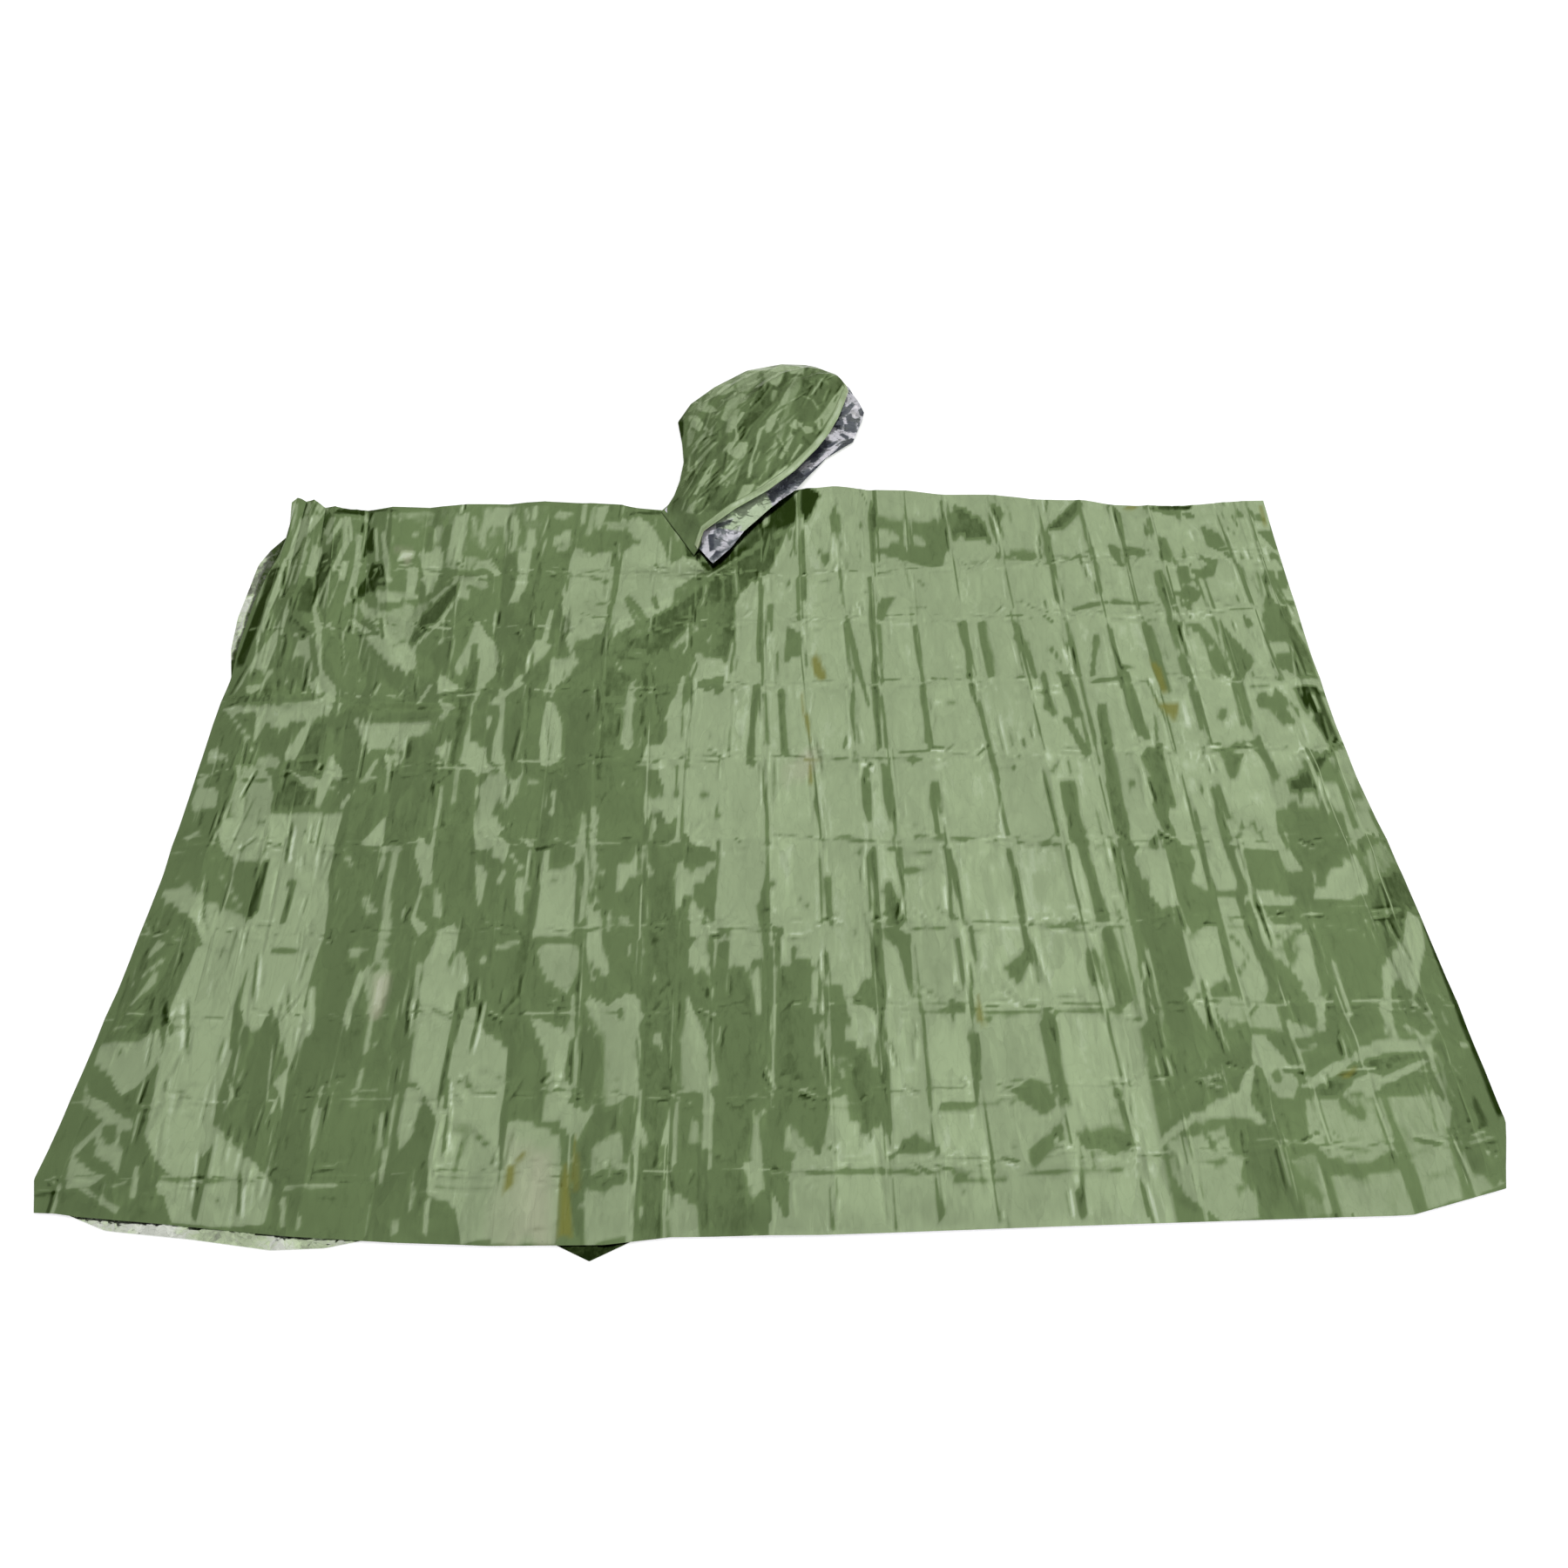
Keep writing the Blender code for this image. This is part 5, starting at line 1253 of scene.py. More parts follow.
def scatterCreases(canvas, count, seed):
    # short creases: upright ones beside the packing folds, level ones where folds cross
    random = np.random.default_rng(seed)
    for _ in range(count):
        x = random.uniform(-0.65, 0.65)
        y = random.uniform(-0.54, 0.50)
        kind = random.choice(3, p=(0.46, 0.36, 0.18))
        lengths = random.uniform(20, 80), random.uniform(8, 34), random.uniform(10, 34)
        tilts = random.normal(91, 4), random.normal(0, 14), random.uniform(20, 160)
        length, tilt = lengths[kind] * mm, tilts[kind]
        if kind == 0:
            number = np.array(random.integers(1, packCount + 1))
            x = float(packLineX(number, np.array(y))) + random.normal(0, 7) * mm
            further = float(packLineX(number, np.array(y + 0.1)))
            tilt -= math.degrees(math.atan((further - x) / 0.1)) * 0.6
        else:
            fold = random.integers(crossCount)
            y = float(crossFoldY(fold, np.array(x))) + random.normal(0, 9) * mm
        toX, toY = endOf(x, y, length, tilt)
        width = random.uniform(2.2, 5.0) * mm
        height = random.choice((-1, 1)) * random.uniform(0.15, 0.6) * mm
        drawCrease(canvas, x, y, toX, toY, width, height, random.gamma(2.0, 0.42) + 0.2)


def frontSheet():
    strips, bands = packCount + 1, crossCount + 1
    # faces crowd towards the folds, where the film turns sharply
    stepsAcross = np.linspace(0, strips, strips * body["across"] + 1)
    stepsUp = np.linspace(0, bands, bands * body["up"] + 1)
    stepsAcross = stepsAcross - body["crowd"][0] * np.sin(2 * math.pi * stepsAcross)
    stepsUp = stepsUp - body["crowd"][1] * np.sin(2 * math.pi * stepsUp)
    across, up = np.meshgrid(stepsAcross, stepsUp)
    strip = np.clip(across.astype(int), 0, strips - 1)
    band = np.clip(up.astype(int), 0, bands - 1)
    x = np.zeros_like(across)
    y = np.zeros_like(across)
    for _ in range(body["meetingRounds"]):
        x = mix(packLineX(strip, y), packLineX(strip + 1, y), across - strip)
        y = mix(crossLineY(band, x), crossLineY(band + 1, x), up - band)
    packing = mix(packRise(strip, y), packRise(strip + 1, y), across - strip)
    for fold in range(bands - 1):
        level = 1.0 - np.abs(y - crossFoldY(fold, x)) / body["crossWidth"]
        rise = crossFolds["rise"][fold] * mm * body["crossShare"]
        packing = packing + rise * np.clip(level, 0.0, 1.0)
    kept = ease((y - edgeAt(frontReach, "hem", x)) / body["edgeReach"])
    folds = np.maximum(packing, body["packedShare"] * packing + largeFoldHeight(x, y))
    flat = flatNearNeck(x, y)
    floor = body["wall"] + body["clear"] + body["lift"]
    folds = folds * kept * flat
    z = floor + folds
    canvas = bodyCanvas()
    scatterCreases(canvas, body["creases"], seed=21)
    atHem, atNeck = (mix(least, 1.0, share) for least, share in zip(body["relief"], (kept, flat)))
    inside = np.minimum(ease(0.5 * across), ease(0.5 * (strips - across)))
    for _ in range(2):
        seenX, seenY = apparent(x, y, z)
        relief = readCanvas(canvas, "rise", seenX, seenY) * inside * atHem * atNeck
        z = np.maximum(floor + folds + relief, floor)
    seenX, seenY = apparent(x, y, z)
    layers = ("lean", "stain", "fade")
    marks = {layer: readCanvas(canvas, layer, seenX, seenY) for layer in layers}
    foldLines(marks["lean"], strips, bands)
    points = np.stack((x, y, z), -1)
    return makeSheet("frontSheet", points, marks, [greenFilm]), points


def foldLines(lean, strips, bands):
    # sharp lines where the film was folded: dark on lit film and pale on dark film
    random = np.random.default_rng(31)
    across, up = body["across"], body["up"]
    broken = ease(0.5 + 0.9 * softNoise(lean.shape, (7.0, 1.5), 32))
    for strip in range(1, strips):
        for band in range(bands):
            start = band * up + random.integers(-4, up // 2)
            end = min(start + random.integers(up // 3, up + 6), bands * up)
            rows = slice(max(start, 0), end)
            column = strip * across + random.integers(-1, 2)
            beside = lean[rows, column + random.choice((-4, 4))].mean()
            turn = -1.0 if beside > 0 else 1.0
            calm = 0.4 if strip < 14 or strip < 18 and band > 6 else 1.0
            strength = calm * random.uniform(0.3, 1.0) * broken[rows, column]
            tone = turn * random.uniform(0.8, 1.3)
            lean[rows, column] = mix(lean[rows, column], tone, strength)
            far = column + random.choice((-1, 1))
            tone = -turn * random.uniform(0.9, 1.4)
            lean[rows, far] = mix(lean[rows, far], tone, 0.6 * strength)
    for band in range(1, bands):
        for strip in range(strips):
            start = strip * across + random.integers(0, across // 2)
            columns = slice(start, start + random.integers(across // 2, across))
            row = band * up + random.integers(-1, 2)
            beside = lean[row + random.choice((-3, 3)), columns].mean()
            turn = -1.0 if beside > 0 else 1.0
            strength = random.uniform(0.0, 0.9) * broken[row, columns]
            tone = turn * random.uniform(0.6, 1.2)
            lean[row, columns] = mix(lean[row, columns], tone, strength)


# The back panel lies under the front one and shows at the left opening and along the hem.
backLay = {
    "across": 360,
    "up": 120,
    "height": 0.45 * mm,
    "crumple": 0.15 * mm,
    "rim": 1.6 * mm,  # rise of its left edge, where it shows
    "least": 0.2 * mm,
}


def backSheet():
    across, up = gridOf(backLay["across"], backLay["up"])
    x = np.zeros_like(across)
    y = np.zeros_like(across)
    for _ in range(body["meetingRounds"]):
        x = mix(edgeAt(backSides, "left", y), edgeAt(backSides, "right", y), across)
        y = mix(edgeAt(backReach, "hem", x), edgeAt(backReach, "shoulder", x), up)
    crumple = softNoise(x.shape, (3.0, 4.0), 41)
    rim = ease((edgeAt(frontSides, "left", y) + 0.002 - x) / 0.006)
    uneven = backLay["crumple"] * crumple
    z = backLay["height"] + uneven + backLay["rim"] * rim * (0.6 + 0.4 * crumple)
    # its colour paints light and shade: lit silver, painted shade at the top of the left opening,
    # and deep painted shade where the front's edges shade it, in the opening, at the hem's right
    # corner and along the right side
    lean = mix(0.70 + 0.55 * crumple, 0.75 + 0.45 * crumple, ease((y + 0.45) / 0.1))
    lean = np.where((x < -0.60) & (y > 0.31), -0.7 + 0.7 * crumple, lean)
    opening = (x < -0.60) & (y > 0.15) & (x > -0.642)
    hemCorner = (y < -0.50) & (x > -0.27)
    lean = np.where(opening | hemCorner | (x > 0.5), -1.4 + 0.5 * crumple, lean)
    points = np.stack((x, y, np.maximum(z, backLay["least"])), -1)
    return makeSheet("backSheet", points, {"lean": lean}, [backFilm]), points


# The hood lies in profile: a near side, a far side, and a turned band along the near rim.
hood = {
    "across": 120,
    "up": 170,
    "farAcross": 140,
    "farUp": 240,
    "film": 0.4 * mm,
    "lift": 0.5 * mm,
    "slope": 0.10,
    "levelReach": 0.020,
    "band": 9 * mm,  # the turned band along the rim
    "lap": 5.0 * mm,  # of its neck edge over the panel's
    "lapWay": (-0.89, -0.45),
    "lapUp": 0.04,  # share of the hood's height
    "riseUp": 0.12,  # share over which the near side rises from the panels
    "heldNeck": 0.06,  # shares over which the relief comes in from each edge
    "heldBrim": 0.08,
    "heldSeam": 0.08,
    "heldRim": 0.10,
    "overPanels": 3.0 * mm,
    "raisedY": 0.548,  # the far side lies on the panels up to here
    "floorY": 0.600,  # and on the surface beyond this
    "fall": 0.60,  # share of the way from the seam over which the near side rises
    "curl": 2.5,  # how late the far side lifts on its way to the rim
    "belowRim": 4.0 * mm,  # from the near rim down to the far side's film
    "streakSlant": 0.28,
    "creases": 170,
}
hoodCanvasSize = (-0.20, 0.17, 0.34, 0.90, 1.0 * mm)

# Sections from the neck to the brim: the seam at the back of the head, the near rim, the far
# rim, how high each rim stands and how far the near side domes, in millimetres.
hoodSections = table("backX backY nearX nearY farX farY nearRim farRim dome", [
    (-0.149, 0.482, -0.103, 0.390, -0.083, 0.368, 12, 4, 1),
    (-0.138, 0.512, -0.096, 0.424, -0.063, 0.396, 14, 4, 4),
    (-0.132, 0.545, -0.057, 0.468, -0.045, 0.432, 16, 3, 7),
    (-0.129, 0.591, -0.015, 0.508, -0.012, 0.481, 16, 3, 10),
    (-0.133, 0.635, 0.020, 0.552, 0.022, 0.524, 16, 2, 13),
    (-0.141, 0.687, 0.051, 0.606, 0.062, 0.598, 15, 1.5, 15),
    (-0.125, 0.732, 0.067, 0.641, 0.100, 0.637, 14, 1, 15),
    (-0.093, 0.775, 0.080, 0.679, 0.114, 0.687, 13, 1, 14),
    (-0.047, 0.819, 0.089, 0.716, 0.118, 0.712, 11, 0.5, 12),
    (0.003, 0.836, 0.094, 0.740, 0.110, 0.742, 9, 0, 10),
    (0.038, 0.834, 0.097, 0.755, 0.104, 0.758, 7, 0, 7),
    (0.071, 0.814, 0.096, 0.769, 0.099, 0.776, 5, 0, 4),
])

# Soft wrinkles: their place across at the start and the end, from and to up the hood, height
# in millimetres and width.
hoodWrinkles = [
    (0.12, 0.16, 0.20, 0.80, 3, 0.07), (0.27, 0.30, 0.05, 0.70, 4, 0.07),
    (0.42, 0.38, 0.25, 0.95, 4.5, 0.07), (0.52, 0.55, 0.00, 0.60, 3.5, 0.06),
    (0.62, 0.58, 0.35, 1.00, 4, 0.07), (0.74, 0.78, 0.10, 0.65, 3, 0.06),
    (0.85, 0.82, 0.40, 0.85, 2.5, 0.06),
]

# Patches and facets of the near side, in millimetres, as on the body.
hoodPatches = [
    (0.45, -62, 800, -40, 826, -20, 832, -22, 812, -30, 790, -48, 768, -52, 800),
    (0.7, -22, 832, 6, 832, 8, 812, 2, 790, -2, 774, -8, 782, -20, 795, -24, 815),
    (0.95, 8, 834, 36, 834, 34, 812, 12, 814),
    (0.45, -62, 796, -50, 800, -48, 770, -58, 764, -63, 780),
    (0.5, -98, 775, -72, 792, -62, 772, -80, 758, -94, 762),
    (0.7, -114, 738, -96, 733, -87, 718, -100, 711, -114, 720),
    (0.35, -75, 737, -62, 766, -48, 760, -48, 744, -58, 734, -66, 706, -75, 690, -82, 696),
    (0.3, -72, 722, -55, 724, -60, 700, -65, 664, -74, 664),
    (-1.35, -20, 792, -8, 782, -2, 770, -5, 742, -22, 715, -35, 690, -44, 672, -48, 650, -58, 645,
        -61, 665, -51, 690, -42, 715, -32, 748),
    (-1.2, 8, 822, 15, 816, 8, 790, 0, 765, -6, 744, -9, 762, 2, 790),
    (-1, 38, 826, 78, 800, 86, 775, 72, 755, 62, 715, 48, 690, 21, 690, 20, 722, 28, 760, 30, 790,
        35, 820),
    (-1.25, 32, 800, 46, 796, 48, 764, 30, 752),
    (0.05, 14, 802, 32, 808, 30, 780, 22, 750, 14, 715, 8, 690, -2, 650, -8, 640, -5, 670, 7, 720,
        12, 760),
    (0.5, 12, 776, 17, 772, 8, 735, -4, 702, -20, 672, -18, 692, -6, 720, 4, 748),
    (0.85, -20, 680, -25, 668, -33, 610, -38, 560, -44, 556, -42, 590, -34, 640, -28, 672),
    (0.65, 20, 702, 31, 686, 24, 671, 12, 680), (0.45, 28, 681, 46, 679, 50, 665, 36, 661),
    (0.55, -10, 700, 0, 700, -12, 668, -18, 660, -20, 672),
    (0.55, -68, 640, -44, 643, -40, 626, -50, 600, -62, 604, -80, 628),
    (-1, -66, 655, -74, 655, -112, 575, -124, 556, -116, 558, -92, 594, -72, 634),
    (0.35, -84, 642, -92, 640, -124, 572, -117, 574),
    (0.75, -84, 602, -90, 600, -108, 545, -116, 518, -109, 520, -94, 562),
    (-1.2, -33, 656, -41, 645, -48, 600, -55, 565, -60, 542, -72, 518, -94, 488, -80, 484, -55,
        508, -44, 545, -41, 590, -32, 642),
    (0.55, -127, 703, -114, 704, -106, 690, -98, 671, -112, 667, -124, 680),
    (0.2, -126, 670, -116, 668, -119, 630, -127, 628),
    (-1.9, -143, 702, -134, 702, -132, 660, -136, 632, -141, 650),
    (0.75, 16, 662, 21, 658, 8, 612, 2, 600, -2, 604, 8, 636),
    (0.8, 28, 638, 32, 636, 20, 606, 2, 572, -12, 545, -18, 546, 4, 584, 20, 618),
    (-1.2, 20, 618, 12, 606, -6, 562, -20, 542, -14, 540, 4, 566),
    (0.85, 30, 604, 20, 580, 0, 556, -22, 532, -34, 520, -40, 526, -14, 556, 8, 582),
    (-0.15, -70, 598, -52, 602, -56, 560, -62, 540, -78, 552),
    (0.4, -80, 568, -68, 560, -70, 538, -80, 542),
    (0.6, -48, 540, -30, 545, -24, 532, -40, 512, -58, 505),
    (0.3, -118, 500, -100, 515, -90, 500, -104, 478, -124, 480),
    (-1, -92, 530, -84, 528, -98, 490, -110, 476, -112, 484),
    (0.55, 90, 782, 76, 752, 64, 722, 55, 702, 47, 690, 56, 666, 70, 690, 85, 720, 98, 745, 104,
        765),
]
hoodFacets = [
    (-51, 716, -64, 674, 5, 4, 0.95, 0.3), (32, 758, 46, 746, 3, 3, 0.3),
    (46, 748, 54, 724, 3, 3, 0.3), (-58, 640, -62, 706, 4, 3, 0.7),
    (-88, 690, -98, 655, 4, 3, 0.75), (-100, 700, -112, 655, 4, 3, -0.9),
    (-30, 542, -20, 572, 5, 5, 0.8), (-92, 585, -98, 560, 3, 3, -0.8),
    (42, 796, 48, 790, 6, 5, 0.2), (60, 800, 72, 788, 4, 4, 0), (-5, 770, -10, 742, 5, 4, 0.2),
    (-30, 770, -40, 735, 4, 3, 0.1), (28, 655, 44, 628, 10, 8, -1.1), (50, 652, 34, 606, 6, 5, -1),
    (-118, 620, -120, 585, 4, 3, -0.8), (-128, 600, -130, 545, 4, 5, -0.9),
    (-60, 590, -66, 560, 3, 3, 0.4), (-100, 545, -112, 505, 4, 3, -0.8),
    (-46, 500, -70, 478, 8, 8, 0.7), (-140, 500, -130, 515, 6, 5, -1.6),
]

# The same for the far side's silver, and where it mirrors the green.
silverPatches = [
    (-0.8, 54, 632, 64, 620, 42, 575, 30, 555, 12, 535, -5, 508, -15, 501, -20, 510, -2, 540, 14,
        566, 36, 602),
    (1.1, 85, 638, 70, 612, 44, 570, 40, 574, 58, 602, 66, 620, 74, 634),
    (-1.6, 103, 643, 88, 632, 62, 598, 40, 560, 34, 546, 28, 550, 46, 574, 72, 606, 84, 628, 92,
        641),
    (-0.75, 86, 730, 95, 724, 89, 696, 85, 670, 77, 668, 80, 690, 84, 706),
    (-0.7, 98, 702, 105, 690, 100, 666, 94, 672), (0.9, 98, 740, 112, 728, 108, 705, 100, 712),
    (0.8, 106, 700, 114, 690, 108, 660, 103, 665),
    (0.5, 64, 668, 80, 666, 90, 648, 72, 641, 60, 648), (-0.9, 60, 642, 73, 641, 70, 627, 58, 627),
    (-1.6, 95, 650, 105, 648, 104, 636, 92, 638), (0.6, 76, 662, 90, 668, 98, 650, 86, 644),
    (0.6, -104, 452, -86, 448, -82, 396, -96, 380), (-1.3, -92, 436, -85, 436, -82, 404, -88, 400),
    (-0.3, -80, 436, -60, 440, -66, 410, -80, 398),
]
silverFacets = [
    (-85, 438, -87, 408, 5, 5, -1.3), (-77, 402, -84, 384, 5, 4, -1.2),
    (-82, 450, -62, 462, 12, 10, -1.3, 0.4), (40, 600, 28, 575, 4, 4, -0.2),
    (20, 560, 8, 540, 3, 3, -0.3), (-60, 440, -52, 452, 4, 4, -0.6),
]
silverMarks = [  # with crisper edges
    (104, 735, 90, 708, 8, 9, -1.1), (90, 710, 79, 678, 11, 12, -1.3),
    (96, 708, 96, 667, 10, 12, -1.5), (101, 699, 104, 665, 7, 9, -1.3),
    (109, 699, 109, 675, 7, 6, -0.8), (113, 722, 117, 706, 7, 9, -1.4),
    (84, 661, 95, 650, 6, 7, -1.1), (61, 631, 80, 637, 10, 9, -1.1),
    (103, 722, 105, 700, 5, 4, 1.1), (90, 703, 92, 683, 3, 3, 0.8), (94, 662, 103, 652, 6, 6, 1.3),
    (83, 670, 87, 662, 4, 3, 0.8), (66, 623, 85, 646, 4, 4, 0.7), (73, 624, 39, 578, 5, 5, 1),
    (101, 644, 87, 633, 7, 6, -2.4), (87, 633, 66, 603, 6, 5, -2.4),
    (66, 604, 36, 560, 5, 7, -2.4),
]
mirrorFacets = [
    (-92, 452, -16, 520, 84, 80, 0.95, 0.1), (-84, 450, -62, 463, 13, 10, 0.1, 0.5),
    (-55, 444, -48, 455, 6, 5, 0.4),
]

# The turned band from its edge on the near side, round the rim and back underneath: inwards as
# a share of its width, and up in millimetres.
bandRings = [
    (1.0, 0.55), (0.8, 0.95), (0.55, 1.05), (0.3, 1.05), (0.08, 0.9),
    (-0.06, 0.35), (-0.06, -0.5), (0.1, -1.1), (0.45, -1.2), (0.8, -1.1),
]


def hoodAt(share):
    place = share * (len(hoodSections["dome"]) - 1)
    numbers = np.arange(len(hoodSections["dome"]))
    return {column: np.interp(place, numbers, values) for column, values in hoodSections.items()}


def farHeight(section, across, y):
    overPanels = 1.0 - ease((y - hood["raisedY"]) / (hood["floorY"] - hood["raisedY"]))
    return hood["overPanels"] * overPanels + section["farRim"] * mm * across ** hood["curl"]


def nearSurface(across, up):
    # the near side's underside at shares from the seam to the rim and from the neck to the brim
    section = hoodAt(up)
    x = mix(section["backX"], section["nearX"], across)
    y = mix(section["backY"], section["nearY"], across)
    seam = farHeight(section, 0.0, section["backY"]) + body["wall"] + body["clear"]
    rise = np.sin(0.5 * math.pi * np.minimum(across / hood["fall"], 1.0))
    z = mix(seam, section["nearRim"] * mm, rise)
    z = z + section["dome"] * mm * np.sin(math.pi * across)
    for start, end, low, high, height, width in hoodWrinkles:
        along = (up - low) / (high - low)
        fade = ease(4.0 * along) * ease(4.0 * (1.0 - along))
        beside = np.abs(across - mix(start, end, along)) / width
        z = z + 0.5 * height * mm * fade * ease(1.0 - beside)
    return x, y, z


def hoodCanvas():
    canvas = newCanvas(*hoodCanvasSize, seed=51)
    shape = canvas["lean"].shape
    gridX, gridY = np.meshgrid(canvas["x"], canvas["y"])
    # wrinkles run from the crown down to the neck
    slant = gridX - hood["streakSlant"] * (gridY - 0.6)
    streaks = softNoise(shape, (55.0, 5.0), 52)
    rows = np.clip(((gridY - gridY[0, 0]) / canvas["pitch"]).astype(int), 0, shape[0] - 1)
    columns = np.clip(((slant - gridX[0, 0]) / canvas["pitch"]).astype(int), 0, shape[1] - 1)
    uneven = 0.15 * softNoise(shape, (14.0, 10.0), 53)
    canvas["lean"] = -0.70 + 0.26 * streaks[rows, columns] + uneven
    drawPatches(canvas, hoodPatches)
    drawRows(canvas, "lean", hoodFacets)
    canvas["rise"] = leanToRise(canvas, hood["slope"], hood["levelReach"])
    random = np.random.default_rng(54)
    for _ in range(hood["creases"]):
        x, y = random.uniform(-0.13, 0.08), random.uniform(0.47, 0.82)
        length = random.uniform(15, 60) * mm
        toX, toY = endOf(x, y, length, random.normal(72, 12))
        width = random.uniform(2.5, 5.0) * mm
        height = random.choice((-1, 1)) * random.uniform(0.1, 0.3) * mm
        drawCrease(canvas, x, y, toX, toY, width, height, random.uniform(0.6, 1.8))
    return canvas


def hoodNearSide(canvas):
    across, up = gridOf(hood["across"], hood["up"])
    x, y, z = nearSurface(across, up)
    z = mix(hood["overPanels"], z + hood["lift"], ease(0.10 + up / hood["riseUp"]))
    # its neck edge laps over the panel's
    lap = hood["lap"] * ease(1.0 - up / hood["lapUp"])
    x, y = x + hood["lapWay"][0] * lap, y + hood["lapWay"][1] * lap
    seenX, seenY = apparent(x, y, z)
    held = ease(across / hood["heldSeam"]) * ease((1.0 - across) / hood["heldRim"])
    held = held * ease(up / hood["heldNeck"]) * ease((1.0 - up) / hood["heldBrim"])
    z = z + readCanvas(canvas, "rise", seenX, seenY) * held
    marks = {"lean": readCanvas(canvas, "lean", seenX, seenY)}
    points = np.stack((x, y, z), -1)
    piece = makeSheet("hoodNearSide", points, marks, [hoodFilm, innerFilm], flatMap=False)
    film = piece.modifiers.new("film", "SOLIDIFY")
    film.thickness = hood["film"]
    film.offset = -1.0
    film.material_offset = 1
    return piece, points


def hoodBand():
    up = np.linspace(0, 1, 2 * hood["up"] + 1)
    section = hoodAt(up)
    runX, runY = section["nearX"] - section["backX"], section["nearY"] - section["backY"]
    share = hood["band"] / np.maximum(np.hypot(runX, runY), 0.03)
    ripple = softNoise((1, len(up)), (1.0, 6.0), 61)[0]
    rings = []
    for inwards, lift in bandRings:
        x, y, z = nearSurface(1.0 - share * np.maximum(inwards, 0.0), up)
        outwards = np.minimum(inwards, 0.0) * share
        z = z + hood["lift"] + lift * mm * 0.8 + 0.25 * mm * ripple * (lift > 0)
        rings.append(np.stack((x - outwards * runX, y - outwards * runY, z), -1))
    points = np.stack(rings, 1)
    # the band is painted lit, with a painted shade line along its edge on the near side, and the
    # fade mark paints a paler sheen along it
    lean = 1.0 + 0.4 * softNoise(points.shape[:2], (9.0, 1.0), 62)
    lean[:, 0] = -0.6
    fade = np.clip(0.25 + 0.2 * softNoise(lean.shape, (30.0, 3.0), 63), 0.0, 0.6)
    return makeSheet("hoodRimBand", points, {"lean": lean, "fade": fade}, [greenFilm])


def hoodFarSide():
    across, up = gridOf(hood["farAcross"], hood["farUp"])
    section = hoodAt(up)
    x = mix(section["backX"], section["farX"], across)
    y = mix(section["backY"], section["farY"], across)
    crumple = softNoise(x.shape, (9.0, 5.0), 71)
    fine = softNoise(x.shape, (4.0, 3.0), 72)
    rim = ease((across - 0.72) / 0.1)
    z = farHeight(section, across, y) + 0.6 * mm
    # it slopes up from its own rim to just below the near one
    bulge = ease((across - 0.35) / 0.3) * np.clip((1.0 - across) / 0.30, 0.0, 1.0)
    bulge = bulge * ease(up / 0.06) * ease((1.0 - up) / 0.06)
    z = z + np.maximum(section["nearRim"] * mm - hood["belowRim"] - z, 0.0) * bulge
    z = z + rim * (0.5 * mm * crumple + 0.3 * mm * fine)
    z = np.maximum(z, 0.3 * mm)
    canvas = newCanvas(*hoodCanvasSize, seed=73)
    canvas["lean"] = -0.15 + 0.30 * softNoise(canvas["lean"].shape, (8.0, 6.0), 74)
    drawPatches(canvas, silverPatches)
    drawRows(canvas, "lean", silverFacets)
    drawRows(canvas, "lean", silverMarks, fray=0.3, soft=0.4)
    # the fade mark here is a painted reflection: it blends in the green side as the silver mirrors
    # it
    drawRows(canvas, "fade", mirrorFacets)
    seenX, seenY = apparent(x, y, z)
    lean = readCanvas(canvas, "lean", seenX, seenY) + 0.25 * fine
    marks = {"lean": lean, "fade": readCanvas(canvas, "fade", seenX, seenY)}
    points = np.stack((x, y, z), -1)
    return makeSheet("hoodFarSide", points, marks, [silverFilm]), points


front, frontPoints = frontSheet()
print("front sheet made", len(front.data.polygons))
back, backPoints = backSheet()
print("back sheet made", len(back.data.polygons))
nearSide, nearPoints = hoodNearSide(hoodCanvas())
farSide, farPoints = hoodFarSide()
rimBand = hoodBand()
print("hood made", *(len(piece.data.polygons) for piece in (nearSide, farSide, rimBand)))

for piece, node, slot in (
    (front, "front_panel", "green_film"),
    (back, "back_panel", "silver_film"),
    (nearSide, "hood_near_side", "green_film"),
    (farSide, "hood_far_side", "silver_film"),
    (rimBand, None, "green_film"),
):
    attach(piece, "root")
    if node:
        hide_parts(node)
print("areas", *(areaOf(points) for points in (frontPoints, backPoints, nearPoints, farPoints)))


# The floor, the light and the camera.
studio = {
    "floor": (0.93, 0.93, 0.93),
    "floorSize": 40.0,
    "floorZ": -0.3 * mm,
    "floorGlow": 0.35,
    "floorRoughness": 0.9,
    "darkSide": 0.66,
    "brightSide": 1.16,
    "roomScale": 2.2,
    "tilt": 43.7,
    "lens": 36.2,
    "shiftX": 0.0028,
}


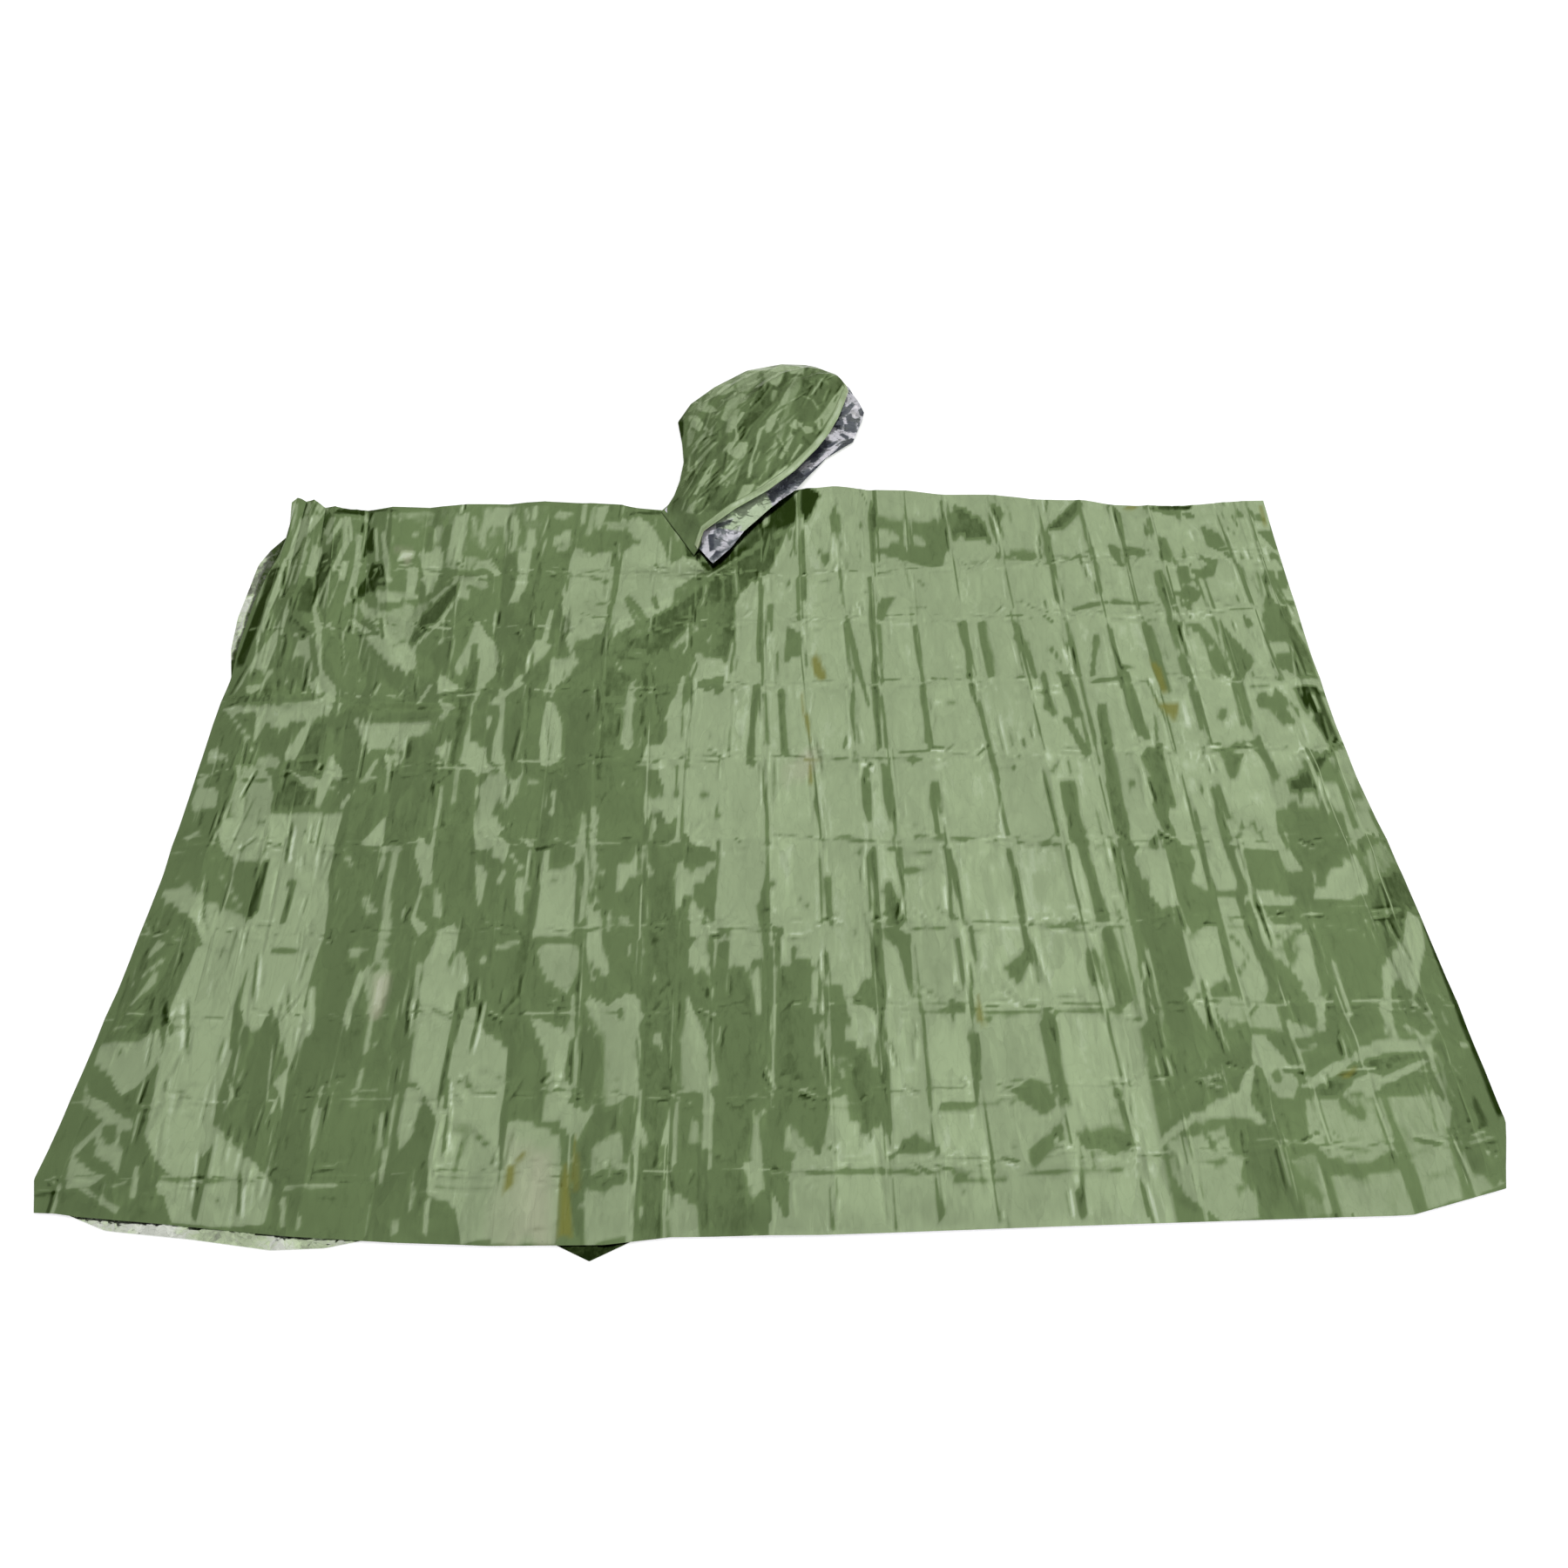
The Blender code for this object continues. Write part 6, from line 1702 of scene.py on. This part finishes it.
def makeFloor():
    place = (0, 0, studio["floorZ"])
    bpy.ops.mesh.primitive_plane_add(size=studio["floorSize"], location=place)
    floor = bpy.context.object
    floor.name = "floor"
    material = bpy.data.materials.new("floorPaint")
    material.use_nodes = True
    shader = material.node_tree.nodes["Principled BSDF"]
    for label, value in (
        ("Base Color", (*studio["floor"], 1.0)),
        ("Roughness", studio["floorRoughness"]),
        ("Specular IOR Level", 0.0),
        ("Emission Color", (1.0, 1.0, 1.0, 1.0)),
        ("Emission Strength", studio["floorGlow"]),
    ):
        shader.inputs[label].default_value = value
    floor.data.materials.append(material)


def makeWorld():
    # a room that is dim on the left and bright on the right, as soft broad shapes
    world = bpy.data.worlds.new("room")
    bpy.context.scene.world = world
    world.use_nodes = True
    nodes, links = world.node_tree.nodes, world.node_tree.links
    way = nodes.new("ShaderNodeTexCoord").outputs["Generated"]
    parts = addNode(nodes, links, "SeparateXYZ", way)
    noise = addNode(nodes, links, "TexNoise", way)
    noise.inputs["Scale"].default_value = studio["roomScale"]
    noise.inputs["Detail"].default_value = 1.0
    side = addMath(nodes, links, "MULTIPLY_ADD", noise.outputs["Fac"], 1.6, -0.8)
    side = addMath(nodes, links, "MULTIPLY_ADD", parts.outputs["X"], 0.5, side)
    limits = (-0.55, 0.55, studio["darkSide"], studio["brightSide"])
    share = addNode(nodes, links, "MapRange", side, *limits, interpolation_type="SMOOTHSTEP")
    backdrop = nodes["Background"]
    backdrop.inputs["Color"].default_value = (1.0, 1.0, 1.0, 1.0)
    links.new(share.outputs["Result"], backdrop.inputs["Strength"])


def makeCamera():
    lens = bpy.data.cameras.new("camera")
    lens.lens = studio["lens"]
    lens.sensor_width = 36.0
    lens.shift_x = studio["shiftX"]
    camera = bpy.data.objects.new("camera", lens)
    camera.location = eye
    camera.rotation_euler = (math.radians(studio["tilt"]), 0.0, 0.0)
    bpy.context.scene.collection.objects.link(camera)
    bpy.context.scene.camera = camera


makeFloor()
makeWorld()
makeCamera()
bpy.context.scene.view_settings.view_transform = "Standard"
print("studio ready")
